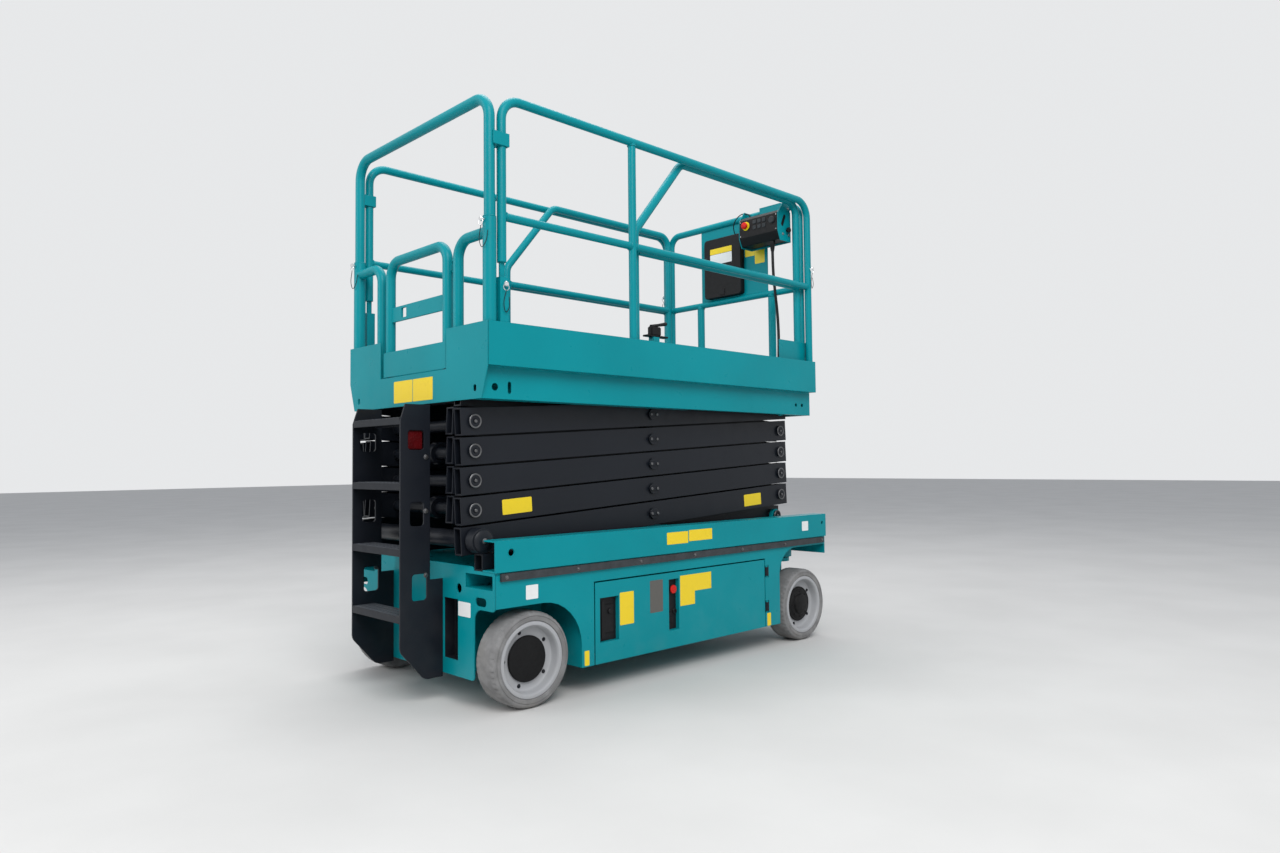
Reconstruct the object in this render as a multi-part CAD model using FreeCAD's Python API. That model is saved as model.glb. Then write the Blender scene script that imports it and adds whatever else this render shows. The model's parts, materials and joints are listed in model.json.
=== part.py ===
import FreeCAD, Part
import math
import os

from FreeCAD import Vector

# An electric scissor lift, lowered. Millimetres, +X to the front (steered) end, +Z up,
# origin on the ground under the middle of the machine. RIGHT is the -Y side.

os.makedirs("parts", exist_ok=True)

X_AXIS = Vector(1, 0, 0)
Y_AXIS = Vector(0, 1, 0)
Z_AXIS = Vector(0, 0, 1)
RIGHT = -1
LEFT = 1
SIDES = (RIGHT, LEFT)

# General clearances
PIN_GAP = 0.1        # radial gap of a pin that a joint turns on
OPEN_PIN_GAP = 0.5   # radial gap of a pin whose joint the linkage closes by its geometry
SEAT_GAP = 0.3       # gap between pieces that rest on each other
RUN_GAP = 0.5        # gap under a roller or a slide pad

# Wheels
WHEEL_RADIUS = 190.5
WHEEL_WIDTH = 127.0
WHEEL_OUTER_Y = 572.0
WHEEL_X = 921.0
RIM_RADIUS = 133.0
TYRE_CHAMFER = 10.0
HUB_RADIUS = 75.0
HUB_PROUD = 14.0
RIM_LIP = 13.0
RIM_DISH = 46.0
RIM_WEB = 16.0
STUB_RADIUS = 30.0

# Chassis
SHEET = 6.0
SKIRT_Y = 575.0
SKIRT_BOTTOM = 117.0
DECK_TOP = 550.0
DECK_THICK = 8.0
CHASSIS_REAR = -1106.0
CHASSIS_FRONT = 1121.0
BEAM_Y = 585.0
BEAM_DEPTH = 85.0
BEAM_HEIGHT = 123.0
BEAM_REAR = -1108.0
ARCH_TOP = 410.0
ARCH_FRONT = -668.0
ARCH_RADIUS = 200.0
FRONT_EDGE = 680.0
FRONT_ARCH_RADIUS = 160.0
SPINE_Y = 300.0
SPINE_FRONT = 646.0
REAR_PLATE_TOP = 565.0
REAR_PLATE_LOW_Y = 436.0
FRONT_PLATE_BOTTOM = 454.0
STRIP_BOTTOM = 515.0
STRIP_TOP = 545.0
STRIP_REAR = -1080.0
STRIP_FRONT = 1100.0
STRIP_THICK = 11.0
STUB_END_Y = WHEEL_OUTER_Y - RIM_DISH - SHEET
REAR_AXLE_RADIUS = 38.0
BRAKE_RADIUS = 95.0
BRAKE_Y0 = 396.0
BRAKE_Y1 = 438.0

# Swing-out trays
DOOR_REAR = -593.0
DOOR_FRONT = 571.0
DOOR_TOP = 461.0
DOOR_THICK = 4.0
DOOR_GAP = 6.0
HINGE_X = 590.0
HINGE_Y = 572.0
HINGE_PIN = 7.0
HINGE_SLEEVE = 12.0
HINGE_Z = (220.0, 400.0)
HINGE_HEIGHT = 60.0
SHELF_REAR = -500.0
SHELF_FRONT = 555.0
SHELF_INNER_Y = 330.0
SHELF_BOTTOM = 135.0
SHELF_LIP = 50.0
BATTERY_COUNT = 4
BATTERY_LENGTH = 240.0
BATTERY_GAP = 15.0
BATTERY_HEIGHT = 255.0

# Steering
KINGPIN_Y = 400.0
KINGPIN_RADIUS = 30.0
AXLE_BOTTOM = 442.0
AXLE_HALF_X = 75.0
STEER_ARM = 150.0
TIE_ROD_RADIUS = 11.0
TIE_ROD_Z = 400.0
TIE_EYE_RADIUS = 22.0
TIE_PIN_RADIUS = 10.0
KNUCKLE_TOP = 436.0
KNUCKLE_PLATE = 20.0
KNUCKLE_SIDE_Y0 = 366.0
KNUCKLE_SIDE_Y1 = 390.0
MOTOR_RADIUS = 70.0
MOTOR_Y0 = 290.0

# Scissor pack
LINKSETS = 5
LEVEL_0 = 668.0
PITCH = 118.0
FRONT_PIN_X = 910.0
REAR_PIN_X = -1100.0
ARM_DEPTH = 110.0
ARM_WALL = 6.0
ARM_END = 60.0
INNER_Y0 = 320.0
INNER_Y1 = 370.0
OUTER_Y0 = 380.0
OUTER_Y1 = 430.0
PIN_RADIUS = 20.0
BOSS_RADIUS = 32.0
PIN_HEAD_RADIUS = 26.0
PIN_HEAD = 9.0
CROSS_TUBE_RADIUS = 30.0
REAR_TUBE_AT = 0.92
FRONT_TUBE_AT = 0.97
TOP_INNER_END = 20.0
LOW_TUBE_RADIUS = 35.0
ROLLER_RADIUS = 50.0
ROLLER_Y0 = 442.0
ROLLER_Y1 = 492.0
TOP_ROLLER_RADIUS = 25.0
TOP_ANGLE = math.radians(65.2)
REST_ANGLE = math.atan2(PITCH, FRONT_PIN_X - REAR_PIN_X)
ARM_LENGTH = math.hypot(FRONT_PIN_X - REAR_PIN_X, PITCH)
HALF_ARM = ARM_LENGTH / 2
CENTRE_X = (FRONT_PIN_X + REAR_PIN_X) / 2

# Lift cylinders
ROD_EYE_AT = 0.68
EYE_TUBE_LIFT = 62.0
EYE_TUBE_RADIUS = 25.0
EYE_RADIUS = 28.0
EYE_HALF_WIDTH = 30.0
EYE_PIN_RADIUS = 15.0
BARREL_RADIUS = 48.0
BARREL_EYE_HALF = 40.0
BARREL_EYE_RADIUS = 42.0
ROD_RADIUS = 28.0
ROD_SHOWN = 120.0
LUG_THICK = 12.0

# Ladder
LADDER_Y = 200.0
LADDER_THICK = 8.0
LADDER_REAR = -1300.0
LADDER_FRONT = -1166.0
LADDER_BOTTOM = 122.0
LADDER_TOP = 1215.0
STEP_PITCH = 265.0
STEP_FIRST = 365.0
STEP_DEPTH = 105.0
STEP_THICK = 28.0
STEPS = 4
LADDER_HOLES_Z = (450.0, 700.0, 965.0)

# Platform
PLATFORM_REAR = -1133.0
PLATFORM_FRONT = 1065.0
PLATFORM_Y = 574.0
BAND_TOP = 1525.0
BAND_STEP = 1353.0
BAND_BOTTOM = 1225.0
BAND_SHEET = 4.0
LOW_BAND_Y = 530.0
SLIDE_RAIL_Y0 = 437.0
SLIDE_RAIL_Y1 = 495.0
FLOOR_THICK = 6.0
RAIL_TUBE = 19.0
RAIL_BEND = 90.0
RAIL_Y = PLATFORM_Y - BAND_SHEET - SEAT_GAP - RAIL_TUBE
TOP_RAIL_Z = 2430.0
MID_RAIL_Z = 1950.0
REAR_RAIL_X = -1098.0
SIDE_REAR_POST_X = -1050.0
SIDE_FRONT_POST_X = 1040.0
MID_POST_X = -330.0
FOLD_END_Z = 1730.0
POST_SIDE = 40.0
ENTRY_HALF = 268.0
HOOP_Y = 292.0
HOOP_TOP = 1880.0
HOOP_BEND = 70.0

# Gate
GATE_TUBE = 17.0
GATE_HALF = 245.0
GATE_HINGE_X = -1078.0
GATE_HINGE_Y = -268.0
GATE_HINGE_Z = (1480.0, 1790.0)
GATE_PIN = 6.0
GATE_SLEEVE = 11.0
GATE_SLEEVE_HEIGHT = 40.0
GATE_BOTTOM = 1366.0
GATE_TOP = 1885.0
GATE_SHEET_TOP = 1540.0
GATE_BAR = (1690.0, 1755.0)

# Extension
EXT_REAR = -290.0
EXT_FLOOR = 1366.0
EXT_FLOOR_THICK = 8.0
EXT_BOARD_Y = 526.0
EXT_BOARD_TOP = 1505.0
EXT_RAIL_Y = 503.0
EXT_TUBE = 17.0
EXT_TOP_Z = 2405.0
EXT_FRONT_X = 1038.0
EXT_BEND_X = -20.0
EXT_KNEE_Z = 2050.0
PAD_LENGTH = 80.0
PANEL_Y = (-275.0, 240.0)
PANEL_SHEET = 3.0

# Control box, hung on the front top rail, and the manual box on the front panel
CONTROL_Y = (-465.0, -135.0)
CONTROL_BOTTOM = 2195.0
CONTROL_TOP = 2370.0
CONTROL_REAR = 885.0
CONTROL_SLOPE = 70.0
HOOK_SHEET = 5.0
MANUAL_Y = (-120.0, 200.0)
MANUAL_Z = (1972.0, 2345.0)
MANUAL_DEPTH = 38.0

# The control box's cable hangs from the box to a gland on the deck.
CABLE_RADIUS = 8.0
CABLE_ROUTE = [(925, -395, 2178), (925, -395, 2060), (933, -402, 1930), (939, -413, 1800),
               (934, -422, 1670), (925, -425, 1540), (925, -425, 1394)]


def box(x0, x1, y0, y1, z0, z1):
    return Part.makeBox(x1 - x0, y1 - y0, z1 - z0, Vector(x0, y0, z0))


def rod(x, y, z, axis, radius, length):
    return Part.makeCylinder(radius, length, Vector(x, y, z), axis)


def cross_rod(x, z, y0, y1, radius):
    """A round bar along Y from y0 to y1."""
    return rod(x, min(y0, y1), z, Y_AXIS, radius, abs(y1 - y0))


def mirrored(shape):
    return shape.mirror(Vector(0, 0, 0), Y_AXIS)


def on_side(shape, side):
    """A shape drawn on the left (+Y), put on the side that is asked for."""
    return shape if side == LEFT else mirrored(shape)


def fused(shapes):
    first, rest = shapes[0], list(shapes[1:])
    if not rest:
        return first
    return first.fuse(rest).removeSplitter()


def side_plate(points, y0, y1):
    """A flat plate in the XZ plane, from y0 to y1. A point with three numbers ends an arc:
    x, z and the arc's bulge, its middle's distance from the chord, positive to the left."""
    edges = []
    count = len(points)
    for i in range(count):
        here = points[i]
        there = points[(i + 1) % count]
        a = Vector(here[0], y0, here[1])
        b = Vector(there[0], y0, there[1])
        if len(there) == 2:
            edges.append(Part.LineSegment(a, b).toShape())
            continue
        chord = b - a
        left = Vector(-chord.z, 0, chord.x)
        left.normalize()
        middle = (a + b) * 0.5 + left * there[2]
        edges.append(Part.Arc(a, middle, b).toShape())
    face = Part.Face(Part.Wire(edges))
    return face.extrude(Vector(0, y1 - y0, 0))


def quarter_bulge(radius):
    """How far a quarter circle's middle lies from its chord."""
    return radius * (1 - math.cos(math.pi / 4))


def tube(points, radius, bend):
    """A round bar along straight runs that are joined by arcs of one bend radius."""
    corners = [Vector(*p) for p in points]
    edges = []
    start = corners[0]
    for i in range(1, len(corners) - 1):
        into = corners[i] - corners[i - 1]
        out = corners[i + 1] - corners[i]
        into.normalize()
        out.normalize()
        turn = into.getAngle(out)
        back = bend * math.tan(turn / 2)
        a = corners[i] - into * back
        b = corners[i] + out * back
        inward = out - into
        inward.normalize()
        centre = corners[i] + inward * (bend / math.cos(turn / 2))
        middle = centre - inward * bend
        edges.append(Part.LineSegment(start, a).toShape())
        edges.append(Part.Arc(a, middle, b).toShape())
        start = b
    edges.append(Part.LineSegment(start, corners[-1]).toShape())
    first = corners[1] - corners[0]
    ring = Part.Wire([Part.Circle(corners[0], first, radius).toShape()])
    return Part.Wire(edges).makePipeShell([ring], True, True)


def save(node, shapes):
    """Everything is drawn about the middle of the wheelbase and saved about the middle of the
    whole length."""
    shape = shapes[0].copy() if len(shapes) == 1 else Part.makeCompound(shapes)
    shape.translate(Vector(-(LADDER_REAR + CHASSIS_FRONT) / 2, 0, 0))
    shape.exportStep("parts/%s.step" % node)


# Wheels

def tyre(x, side):
    """A solid tyre; its outer shoulder, the one that shows, is chamfered."""
    inner_y = WHEEL_OUTER_Y - WHEEL_WIDTH
    shoulder = TYRE_CHAMFER
    outline = [
        (RIM_RADIUS, inner_y), (WHEEL_RADIUS, inner_y),
        (WHEEL_RADIUS, WHEEL_OUTER_Y - shoulder), (WHEEL_RADIUS - shoulder, WHEEL_OUTER_Y),
        (RIM_RADIUS, WHEEL_OUTER_Y),
    ]
    return on_side(turned(outline, x), side)


def turned(outline, x):
    """A ring turned about the wheel's axis from (radius, y) points."""
    points = [Vector(x + r, y, WHEEL_RADIUS) for r, y in outline]
    wire = Part.makePolygon(points + [points[0]])
    return Part.Face(wire).revolve(Vector(x, 0, WHEEL_RADIUS), Y_AXIS, 360)


def rim(x, side):
    r1 = RIM_RADIUS - SEAT_GAP
    bore = STUB_RADIUS + PIN_GAP
    inner_y = WHEEL_OUTER_Y - WHEEL_WIDTH
    face_y = WHEEL_OUTER_Y - RIM_DISH
    hub_y = face_y + HUB_PROUD
    outline = [
        (bore, inner_y + SHEET), (HUB_RADIUS, inner_y + SHEET),
        (HUB_RADIUS, face_y - RIM_WEB), (r1 - RIM_LIP, face_y - RIM_WEB),
        (r1 - RIM_LIP, inner_y + SHEET), (r1, inner_y + SHEET), (r1, WHEEL_OUTER_Y - SHEET),
        (r1 - RIM_LIP, WHEEL_OUTER_Y - SHEET), (r1 - 2 * RIM_LIP, face_y),
        (HUB_RADIUS, face_y), (HUB_RADIUS - SHEET, hub_y), (0, hub_y),
        (0, hub_y - SHEET), (bore, hub_y - SHEET),
    ]
    return on_side(turned(outline, x), side)


# Chassis

def skirt():
    """One side of the chassis: a plate with the rear arch, the door's opening and the front arch."""
    rear_bulge = quarter_bulge(ARCH_RADIUS)
    front_bulge = quarter_bulge(FRONT_ARCH_RADIUS)
    top = DECK_TOP - DECK_THICK
    outline = [
        (CHASSIS_REAR, top),
        (CHASSIS_REAR, ARCH_TOP),
        (ARCH_FRONT - ARCH_RADIUS, ARCH_TOP),
        (ARCH_FRONT, ARCH_TOP - ARCH_RADIUS, rear_bulge),
        (ARCH_FRONT, SKIRT_BOTTOM),
        (DOOR_REAR - DOOR_GAP, SKIRT_BOTTOM),
        (DOOR_REAR - DOOR_GAP, DOOR_TOP + DOOR_GAP),
        (DOOR_FRONT + DOOR_GAP, DOOR_TOP + DOOR_GAP),
        (DOOR_FRONT + DOOR_GAP, SKIRT_BOTTOM),
        (FRONT_EDGE, SKIRT_BOTTOM),
        (FRONT_EDGE, top - FRONT_ARCH_RADIUS),
        (FRONT_EDGE + FRONT_ARCH_RADIUS, top, front_bulge),
    ]
    plate = side_plate(outline, SKIRT_Y - SHEET, SKIRT_Y)
    half = HINGE_HEIGHT / 2
    for z in HINGE_Z:
        notch = box(HINGE_X - 19, HINGE_X + 16, SKIRT_Y - 40, SKIRT_Y + 20, z - half, z + half)
        plate = plate.cut(notch)
    return plate


def rear_plate():
    low = REAR_PLATE_LOW_Y
    points = [
        (SKIRT_Y, DECK_TOP), (SKIRT_Y, ARCH_TOP), (low, ARCH_TOP), (low, SKIRT_BOTTOM),
        (-low, SKIRT_BOTTOM), (-low, ARCH_TOP), (-SKIRT_Y, ARCH_TOP), (-SKIRT_Y, DECK_TOP),
        (-low, DECK_TOP), (-low, REAR_PLATE_TOP), (low, REAR_PLATE_TOP), (low, DECK_TOP),
    ]
    corners = [Vector(CHASSIS_REAR, y, z) for y, z in points]
    plate = Part.Face(Part.makePolygon(corners + [corners[0]])).extrude(X_AXIS * SHEET)
    cut_x = (CHASSIS_REAR - SHEET, CHASSIS_REAR + 3 * SHEET)
    for side in SIDES:
        pocket = box(*cut_x, 415, 560, 477, 540)
        service = box(*cut_x, 300, 375, 170, 395)
        slot = box(*cut_x, 452, 470, 430, 455)
        plate = plate.cut(on_side(pocket, side))
        plate = plate.cut(on_side(service, side))
        plate = plate.cut(on_side(slot, side))
    return plate


def front_bracket():
    """The ear that holds the lowest front pin."""
    y0 = OUTER_Y0
    outline = [
        (FRONT_PIN_X - 75, DECK_TOP),
        (FRONT_PIN_X + 75, DECK_TOP),
        (FRONT_PIN_X + 36, LEVEL_0),
        (FRONT_PIN_X - 36, LEVEL_0, -36),
    ]
    ear = side_plate(outline, y0, y0 + 20)
    return ear.cut(cross_rod(FRONT_PIN_X, LEVEL_0, y0 - 5, y0 + 25, PIN_RADIUS + PIN_GAP))


def chassis_frame():
    deck = box(CHASSIS_REAR + SHEET, CHASSIS_FRONT - SHEET, -SKIRT_Y, SKIRT_Y,
               DECK_TOP - DECK_THICK, DECK_TOP)
    pieces = [deck, rear_plate()]
    under_deck = DECK_TOP - DECK_THICK
    pieces.append(box(CHASSIS_FRONT - SHEET, CHASSIS_FRONT, -SKIRT_Y, SKIRT_Y,
                      FRONT_PLATE_BOTTOM, DECK_TOP))
    # floor pan and bulkheads of the spine
    pieces.append(box(CHASSIS_REAR + SHEET, SPINE_FRONT, -SPINE_Y, SPINE_Y,
                      SKIRT_BOTTOM, SKIRT_BOTTOM + SHEET))
    pieces.append(box(SPINE_FRONT - SHEET, SPINE_FRONT, -SKIRT_Y + SHEET, SKIRT_Y - SHEET,
                      SKIRT_BOTTOM, under_deck))
    for side in SIDES:
        spine = box(CHASSIS_REAR + SHEET, SPINE_FRONT, SPINE_Y - SHEET, SPINE_Y,
                    SKIRT_BOTTOM, under_deck)
        spine = spine.cut(cross_rod(-WHEEL_X, WHEEL_RADIUS, SPINE_Y - 20, SPINE_Y + 20,
                                    REAR_AXLE_RADIUS + SEAT_GAP))
        bulkhead = box(ARCH_FRONT, ARCH_FRONT + SHEET, SPINE_Y, SKIRT_Y - SHEET,
                       SKIRT_BOTTOM, under_deck)
        chassis_leg = box(SPINE_FRONT, CHASSIS_FRONT - SHEET, 200, 220,
                          AXLE_BOTTOM, under_deck)
        chassis_leg = chassis_leg.cut(box(WHEEL_X - AXLE_HALF_X - SEAT_GAP,
                                          WHEEL_X + AXLE_HALF_X + SEAT_GAP,
                                          190, 230, AXLE_BOTTOM - 1, under_deck))
        pieces += [on_side(s, side) for s in (skirt(), spine, bulkhead, chassis_leg,
                                              front_bracket())]
        for z in HINGE_Z:
            pin = rod(HINGE_X, HINGE_Y, z - HINGE_HEIGHT / 2, Z_AXIS, HINGE_PIN, HINGE_HEIGHT)
            pieces.append(on_side(pin, side))
    return fused(pieces)


def side_beam():
    y1 = BEAM_Y
    y0 = BEAM_Y - BEAM_DEPTH
    top = DECK_TOP + BEAM_HEIGHT
    web = box(BEAM_REAR, CHASSIS_FRONT, y1 - SHEET, y1, DECK_TOP, top)
    upper = box(BEAM_REAR, CHASSIS_FRONT, y0, y1, top - SHEET, top)
    lower = box(BEAM_REAR, CHASSIS_FRONT, y0, y1, DECK_TOP, DECK_TOP + SHEET)
    front = box(CHASSIS_FRONT - SHEET, CHASSIS_FRONT, y0, y1, DECK_TOP, top)
    beam = fused([web, upper, lower, front])
    for x, radius in ((BEAM_REAR + 75, 14), (CHASSIS_FRONT - 35, 9)):
        beam = beam.cut(cross_rod(x, DECK_TOP + 75, y1 - 20, y1 + 20, radius))
    return beam


def roller_track():
    y0 = ROLLER_Y0 - 2
    y1 = ROLLER_Y1 + 4
    top = LEVEL_0 - ROLLER_RADIUS - RUN_GAP
    x1 = FRONT_PIN_X - ARM_LENGTH * math.cos(TOP_ANGLE) + ROLLER_RADIUS
    outer = box(CHASSIS_REAR, x1, y0, y1, DECK_TOP, top)
    return outer.cut(box(CHASSIS_REAR - 1, x1 + 1, y0 + SHEET, y1 - SHEET,
                         DECK_TOP + SHEET, top - SHEET))


def guard_strip():
    return box(STRIP_REAR, STRIP_FRONT, SKIRT_Y, SKIRT_Y + STRIP_THICK, STRIP_BOTTOM, STRIP_TOP)


def rear_axle():
    bar = cross_rod(-WHEEL_X, WHEEL_RADIUS, -BRAKE_Y0, BRAKE_Y0, REAR_AXLE_RADIUS)
    pieces = [bar]
    for side in SIDES:
        brake = cross_rod(-WHEEL_X, WHEEL_RADIUS, BRAKE_Y0, BRAKE_Y1, BRAKE_RADIUS)
        stub = cross_rod(-WHEEL_X, WHEEL_RADIUS, BRAKE_Y1, STUB_END_Y, STUB_RADIUS)
        pieces += [on_side(brake, side), on_side(stub, side)]
    return fused(pieces)


def front_axle():
    top = DECK_TOP - DECK_THICK
    half = AXLE_HALF_X
    beam = box(WHEEL_X - half, WHEEL_X + half, -KINGPIN_Y, KINGPIN_Y, AXLE_BOTTOM, top)
    pieces = [beam]
    for side in SIDES:
        pieces.append(rod(WHEEL_X, side * KINGPIN_Y, AXLE_BOTTOM, Z_AXIS, half, top - AXLE_BOTTOM))
    axle = fused(pieces)
    for side in SIDES:
        axle = axle.cut(rod(WHEEL_X, side * KINGPIN_Y, AXLE_BOTTOM - 1, Z_AXIS,
                            KINGPIN_RADIUS + PIN_GAP, top - AXLE_BOTTOM + 2))
    return axle


def knuckle():
    low = KNUCKLE_TOP - KNUCKLE_PLATE
    plate = rod(WHEEL_X, KINGPIN_Y, low, Z_AXIS, 62, KNUCKLE_PLATE)
    arm_x = WHEEL_X - STEER_ARM
    arm = box(arm_x, WHEEL_X, KINGPIN_Y - TIE_EYE_RADIUS, KINGPIN_Y + TIE_EYE_RADIUS,
              low, KNUCKLE_TOP)
    arm_end = rod(arm_x, KINGPIN_Y, low, Z_AXIS, TIE_EYE_RADIUS, KNUCKLE_PLATE)
    washer = rod(WHEEL_X, KINGPIN_Y, KNUCKLE_TOP, Z_AXIS, 45,
                 AXLE_BOTTOM - KNUCKLE_TOP - SEAT_GAP)
    kingpin = rod(WHEEL_X, KINGPIN_Y, KNUCKLE_TOP, Z_AXIS, KINGPIN_RADIUS, 98)
    cheek = box(WHEEL_X - 45, WHEEL_X + 45, KNUCKLE_SIDE_Y0, KNUCKLE_SIDE_Y1, 120, low)
    hub = cross_rod(WHEEL_X, WHEEL_RADIUS, KNUCKLE_SIDE_Y1, BRAKE_Y1, BRAKE_RADIUS - 10)
    motor = cross_rod(WHEEL_X, WHEEL_RADIUS, MOTOR_Y0, KNUCKLE_SIDE_Y0, MOTOR_RADIUS)
    stub = cross_rod(WHEEL_X, WHEEL_RADIUS, BRAKE_Y1, STUB_END_Y, STUB_RADIUS)
    pin_low = TIE_ROD_Z - TIE_ROD_RADIUS
    tie_pin = rod(arm_x, KINGPIN_Y, pin_low, Z_AXIS, TIE_PIN_RADIUS, low - pin_low)
    return fused([plate, arm, arm_end, washer, kingpin, cheek, hub, motor, stub, tie_pin])


def tie_rod():
    x = WHEEL_X - STEER_ARM
    height = 2 * TIE_ROD_RADIUS
    low = TIE_ROD_Z - TIE_ROD_RADIUS
    bar = cross_rod(x, TIE_ROD_Z, -KINGPIN_Y, KINGPIN_Y, TIE_ROD_RADIUS)
    pieces = [bar]
    for side in SIDES:
        pieces.append(rod(x, side * KINGPIN_Y, low, Z_AXIS, TIE_EYE_RADIUS, height))
    link = fused(pieces)
    for side in SIDES:
        gap = PIN_GAP if side == RIGHT else OPEN_PIN_GAP
        link = link.cut(rod(x, side * KINGPIN_Y, low - 1, Z_AXIS, TIE_PIN_RADIUS + gap, height + 2))
    return link


# Trays

def tray(side):
    door = box(DOOR_REAR, DOOR_FRONT, SKIRT_Y - DOOR_THICK, SKIRT_Y, SKIRT_BOTTOM, DOOR_TOP)
    shelf = box(SHELF_REAR, SHELF_FRONT, SHELF_INNER_Y, SKIRT_Y - DOOR_THICK,
                SHELF_BOTTOM, SHELF_BOTTOM + SHEET)
    lip = box(SHELF_REAR, SHELF_FRONT, SHELF_INNER_Y, SHELF_INNER_Y + SHEET,
              SHELF_BOTTOM, SHELF_BOTTOM + SHELF_LIP)
    pieces = [door, shelf, lip]
    for x in (SHELF_REAR, SHELF_FRONT - SHEET):
        end = [(x, SHELF_BOTTOM), (x + SHEET, SHELF_BOTTOM),
               (x + SHEET, DOOR_TOP - 60), (x, DOOR_TOP - 60)]
        pieces.append(side_plate(end, SHELF_INNER_Y + 60, SKIRT_Y - DOOR_THICK))
    for z in HINGE_Z:
        reach = HINGE_HEIGHT / 2 - 8
        sleeve = rod(HINGE_X, HINGE_Y, z - reach, Z_AXIS, HINGE_SLEEVE, 2 * reach)
        strap = box(DOOR_FRONT - 30, HINGE_X, HINGE_Y - 10, HINGE_Y - 1, z - reach, z + reach)
        bore = rod(HINGE_X, HINGE_Y, z - reach - 1, Z_AXIS, HINGE_PIN + PIN_GAP, 2 * reach + 2)
        pieces.append(fused([sleeve, strap]).cut(bore))
    shape = fused(pieces)
    return on_side(shape, side)


def batteries():
    """Heavy blocks on the right tray, standing on its shelf."""
    blocks = []
    low = SHELF_BOTTOM + SHEET + SEAT_GAP
    for i in range(BATTERY_COUNT):
        x = SHELF_REAR + 2 * SHEET + i * (BATTERY_LENGTH + BATTERY_GAP)
        blocks.append(box(x, x + BATTERY_LENGTH, -550, -SHELF_INNER_Y - 2 * SHEET,
                          low, low + BATTERY_HEIGHT))
    return blocks


def power_unit():
    """Oil tank, pump motor and valve block on the left tray."""
    low = SHELF_BOTTOM + SHEET + SEAT_GAP
    tank = box(-460, -120, 360, 550, low, low + 260)
    base = box(-100, 330, 380, 540, low, low + 40)
    motor = rod(-60, 460, low + 118, X_AXIS, 75, 220)
    valve = box(160, 300, 400, 520, low + 40, low + 200)
    charger = box(360, 520, 350, 545, low, low + 180)
    return [tank, fused([base, motor, valve]), charger]


# Scissor pack

def arm(y0, y1, rear_end, front_end):
    """One arm lying along X about the origin: a box tube with solid pin bosses."""
    half = ARM_DEPTH / 2
    x0 = -HALF_ARM - rear_end
    x1 = HALF_ARM + front_end
    outer = box(x0, x1, y0, y1, -half, half)
    hollow = box(x0 - 1, x1 + 1, y0 + ARM_WALL, y1 - ARM_WALL, -half + ARM_WALL, half - ARM_WALL)
    pieces = [outer.cut(hollow)]
    for x in (-HALF_ARM, 0, HALF_ARM):
        radius = min(BOSS_RADIUS, rear_end - ARM_WALL) if x < 0 else BOSS_RADIUS
        pieces.append(cross_rod(x, 0, y0, y1, radius))
    return fused(pieces)


def laid(shape, linkset, rises_to_front):
    """An arm's shape turned to its angle at rest and put in its linkset."""
    angle = math.degrees(REST_ANGLE)
    turn = -angle if rises_to_front else angle
    shape = shape.copy()
    shape.rotate(Vector(0, 0, 0), Y_AXIS, turn)
    shape.translate(Vector(CENTRE_X, 0, LEVEL_0 + (linkset - 0.5) * PITCH))
    return shape


def outer_arms(linkset):
    base = arm(OUTER_Y0, OUTER_Y1, ARM_END, ARM_END)
    for x in (-HALF_ARM, 0, HALF_ARM):
        if linkset == 1 and x < 0:
            continue
        turns_here = x == 0 if linkset % 2 else x < 0
        turns_here = turns_here or (linkset == LINKSETS and x > 0)
        turns_here = turns_here or (linkset % 2 == 0 and x >= 0)
        gap = PIN_GAP if turns_here else OPEN_PIN_GAP
        base = base.cut(cross_rod(x, 0, OUTER_Y0 - 1, OUTER_Y1 + 1, PIN_RADIUS + gap))
    solids = [on_side(laid(base, linkset, True), side) for side in SIDES]
    if linkset > 1:
        return solids
    low_tube = cross_rod(REAR_PIN_X, LEVEL_0, -OUTER_Y0, OUTER_Y0, LOW_TUBE_RADIUS)
    for side in SIDES:
        axle = cross_rod(REAR_PIN_X, LEVEL_0, OUTER_Y1, ROLLER_Y0, PIN_RADIUS)
        roller = cross_rod(REAR_PIN_X, LEVEL_0, ROLLER_Y0, ROLLER_Y1, ROLLER_RADIUS)
        solids += [on_side(axle, side), on_side(roller, side)]
    return [fused([low_tube] + solids)]


def pin(x, y_end, radius, head_radius):
    """A pin from the inner arm's face out to y_end, with a spacer and a head."""
    spacer = cross_rod(x, 0, INNER_Y1, OUTER_Y0 - RUN_GAP, BOSS_RADIUS)
    shaft = cross_rod(x, 0, INNER_Y1, y_end + RUN_GAP, radius)
    head = cross_rod(x, 0, y_end + RUN_GAP, y_end + RUN_GAP + PIN_HEAD, head_radius)
    return fused([spacer, shaft, head])


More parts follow.
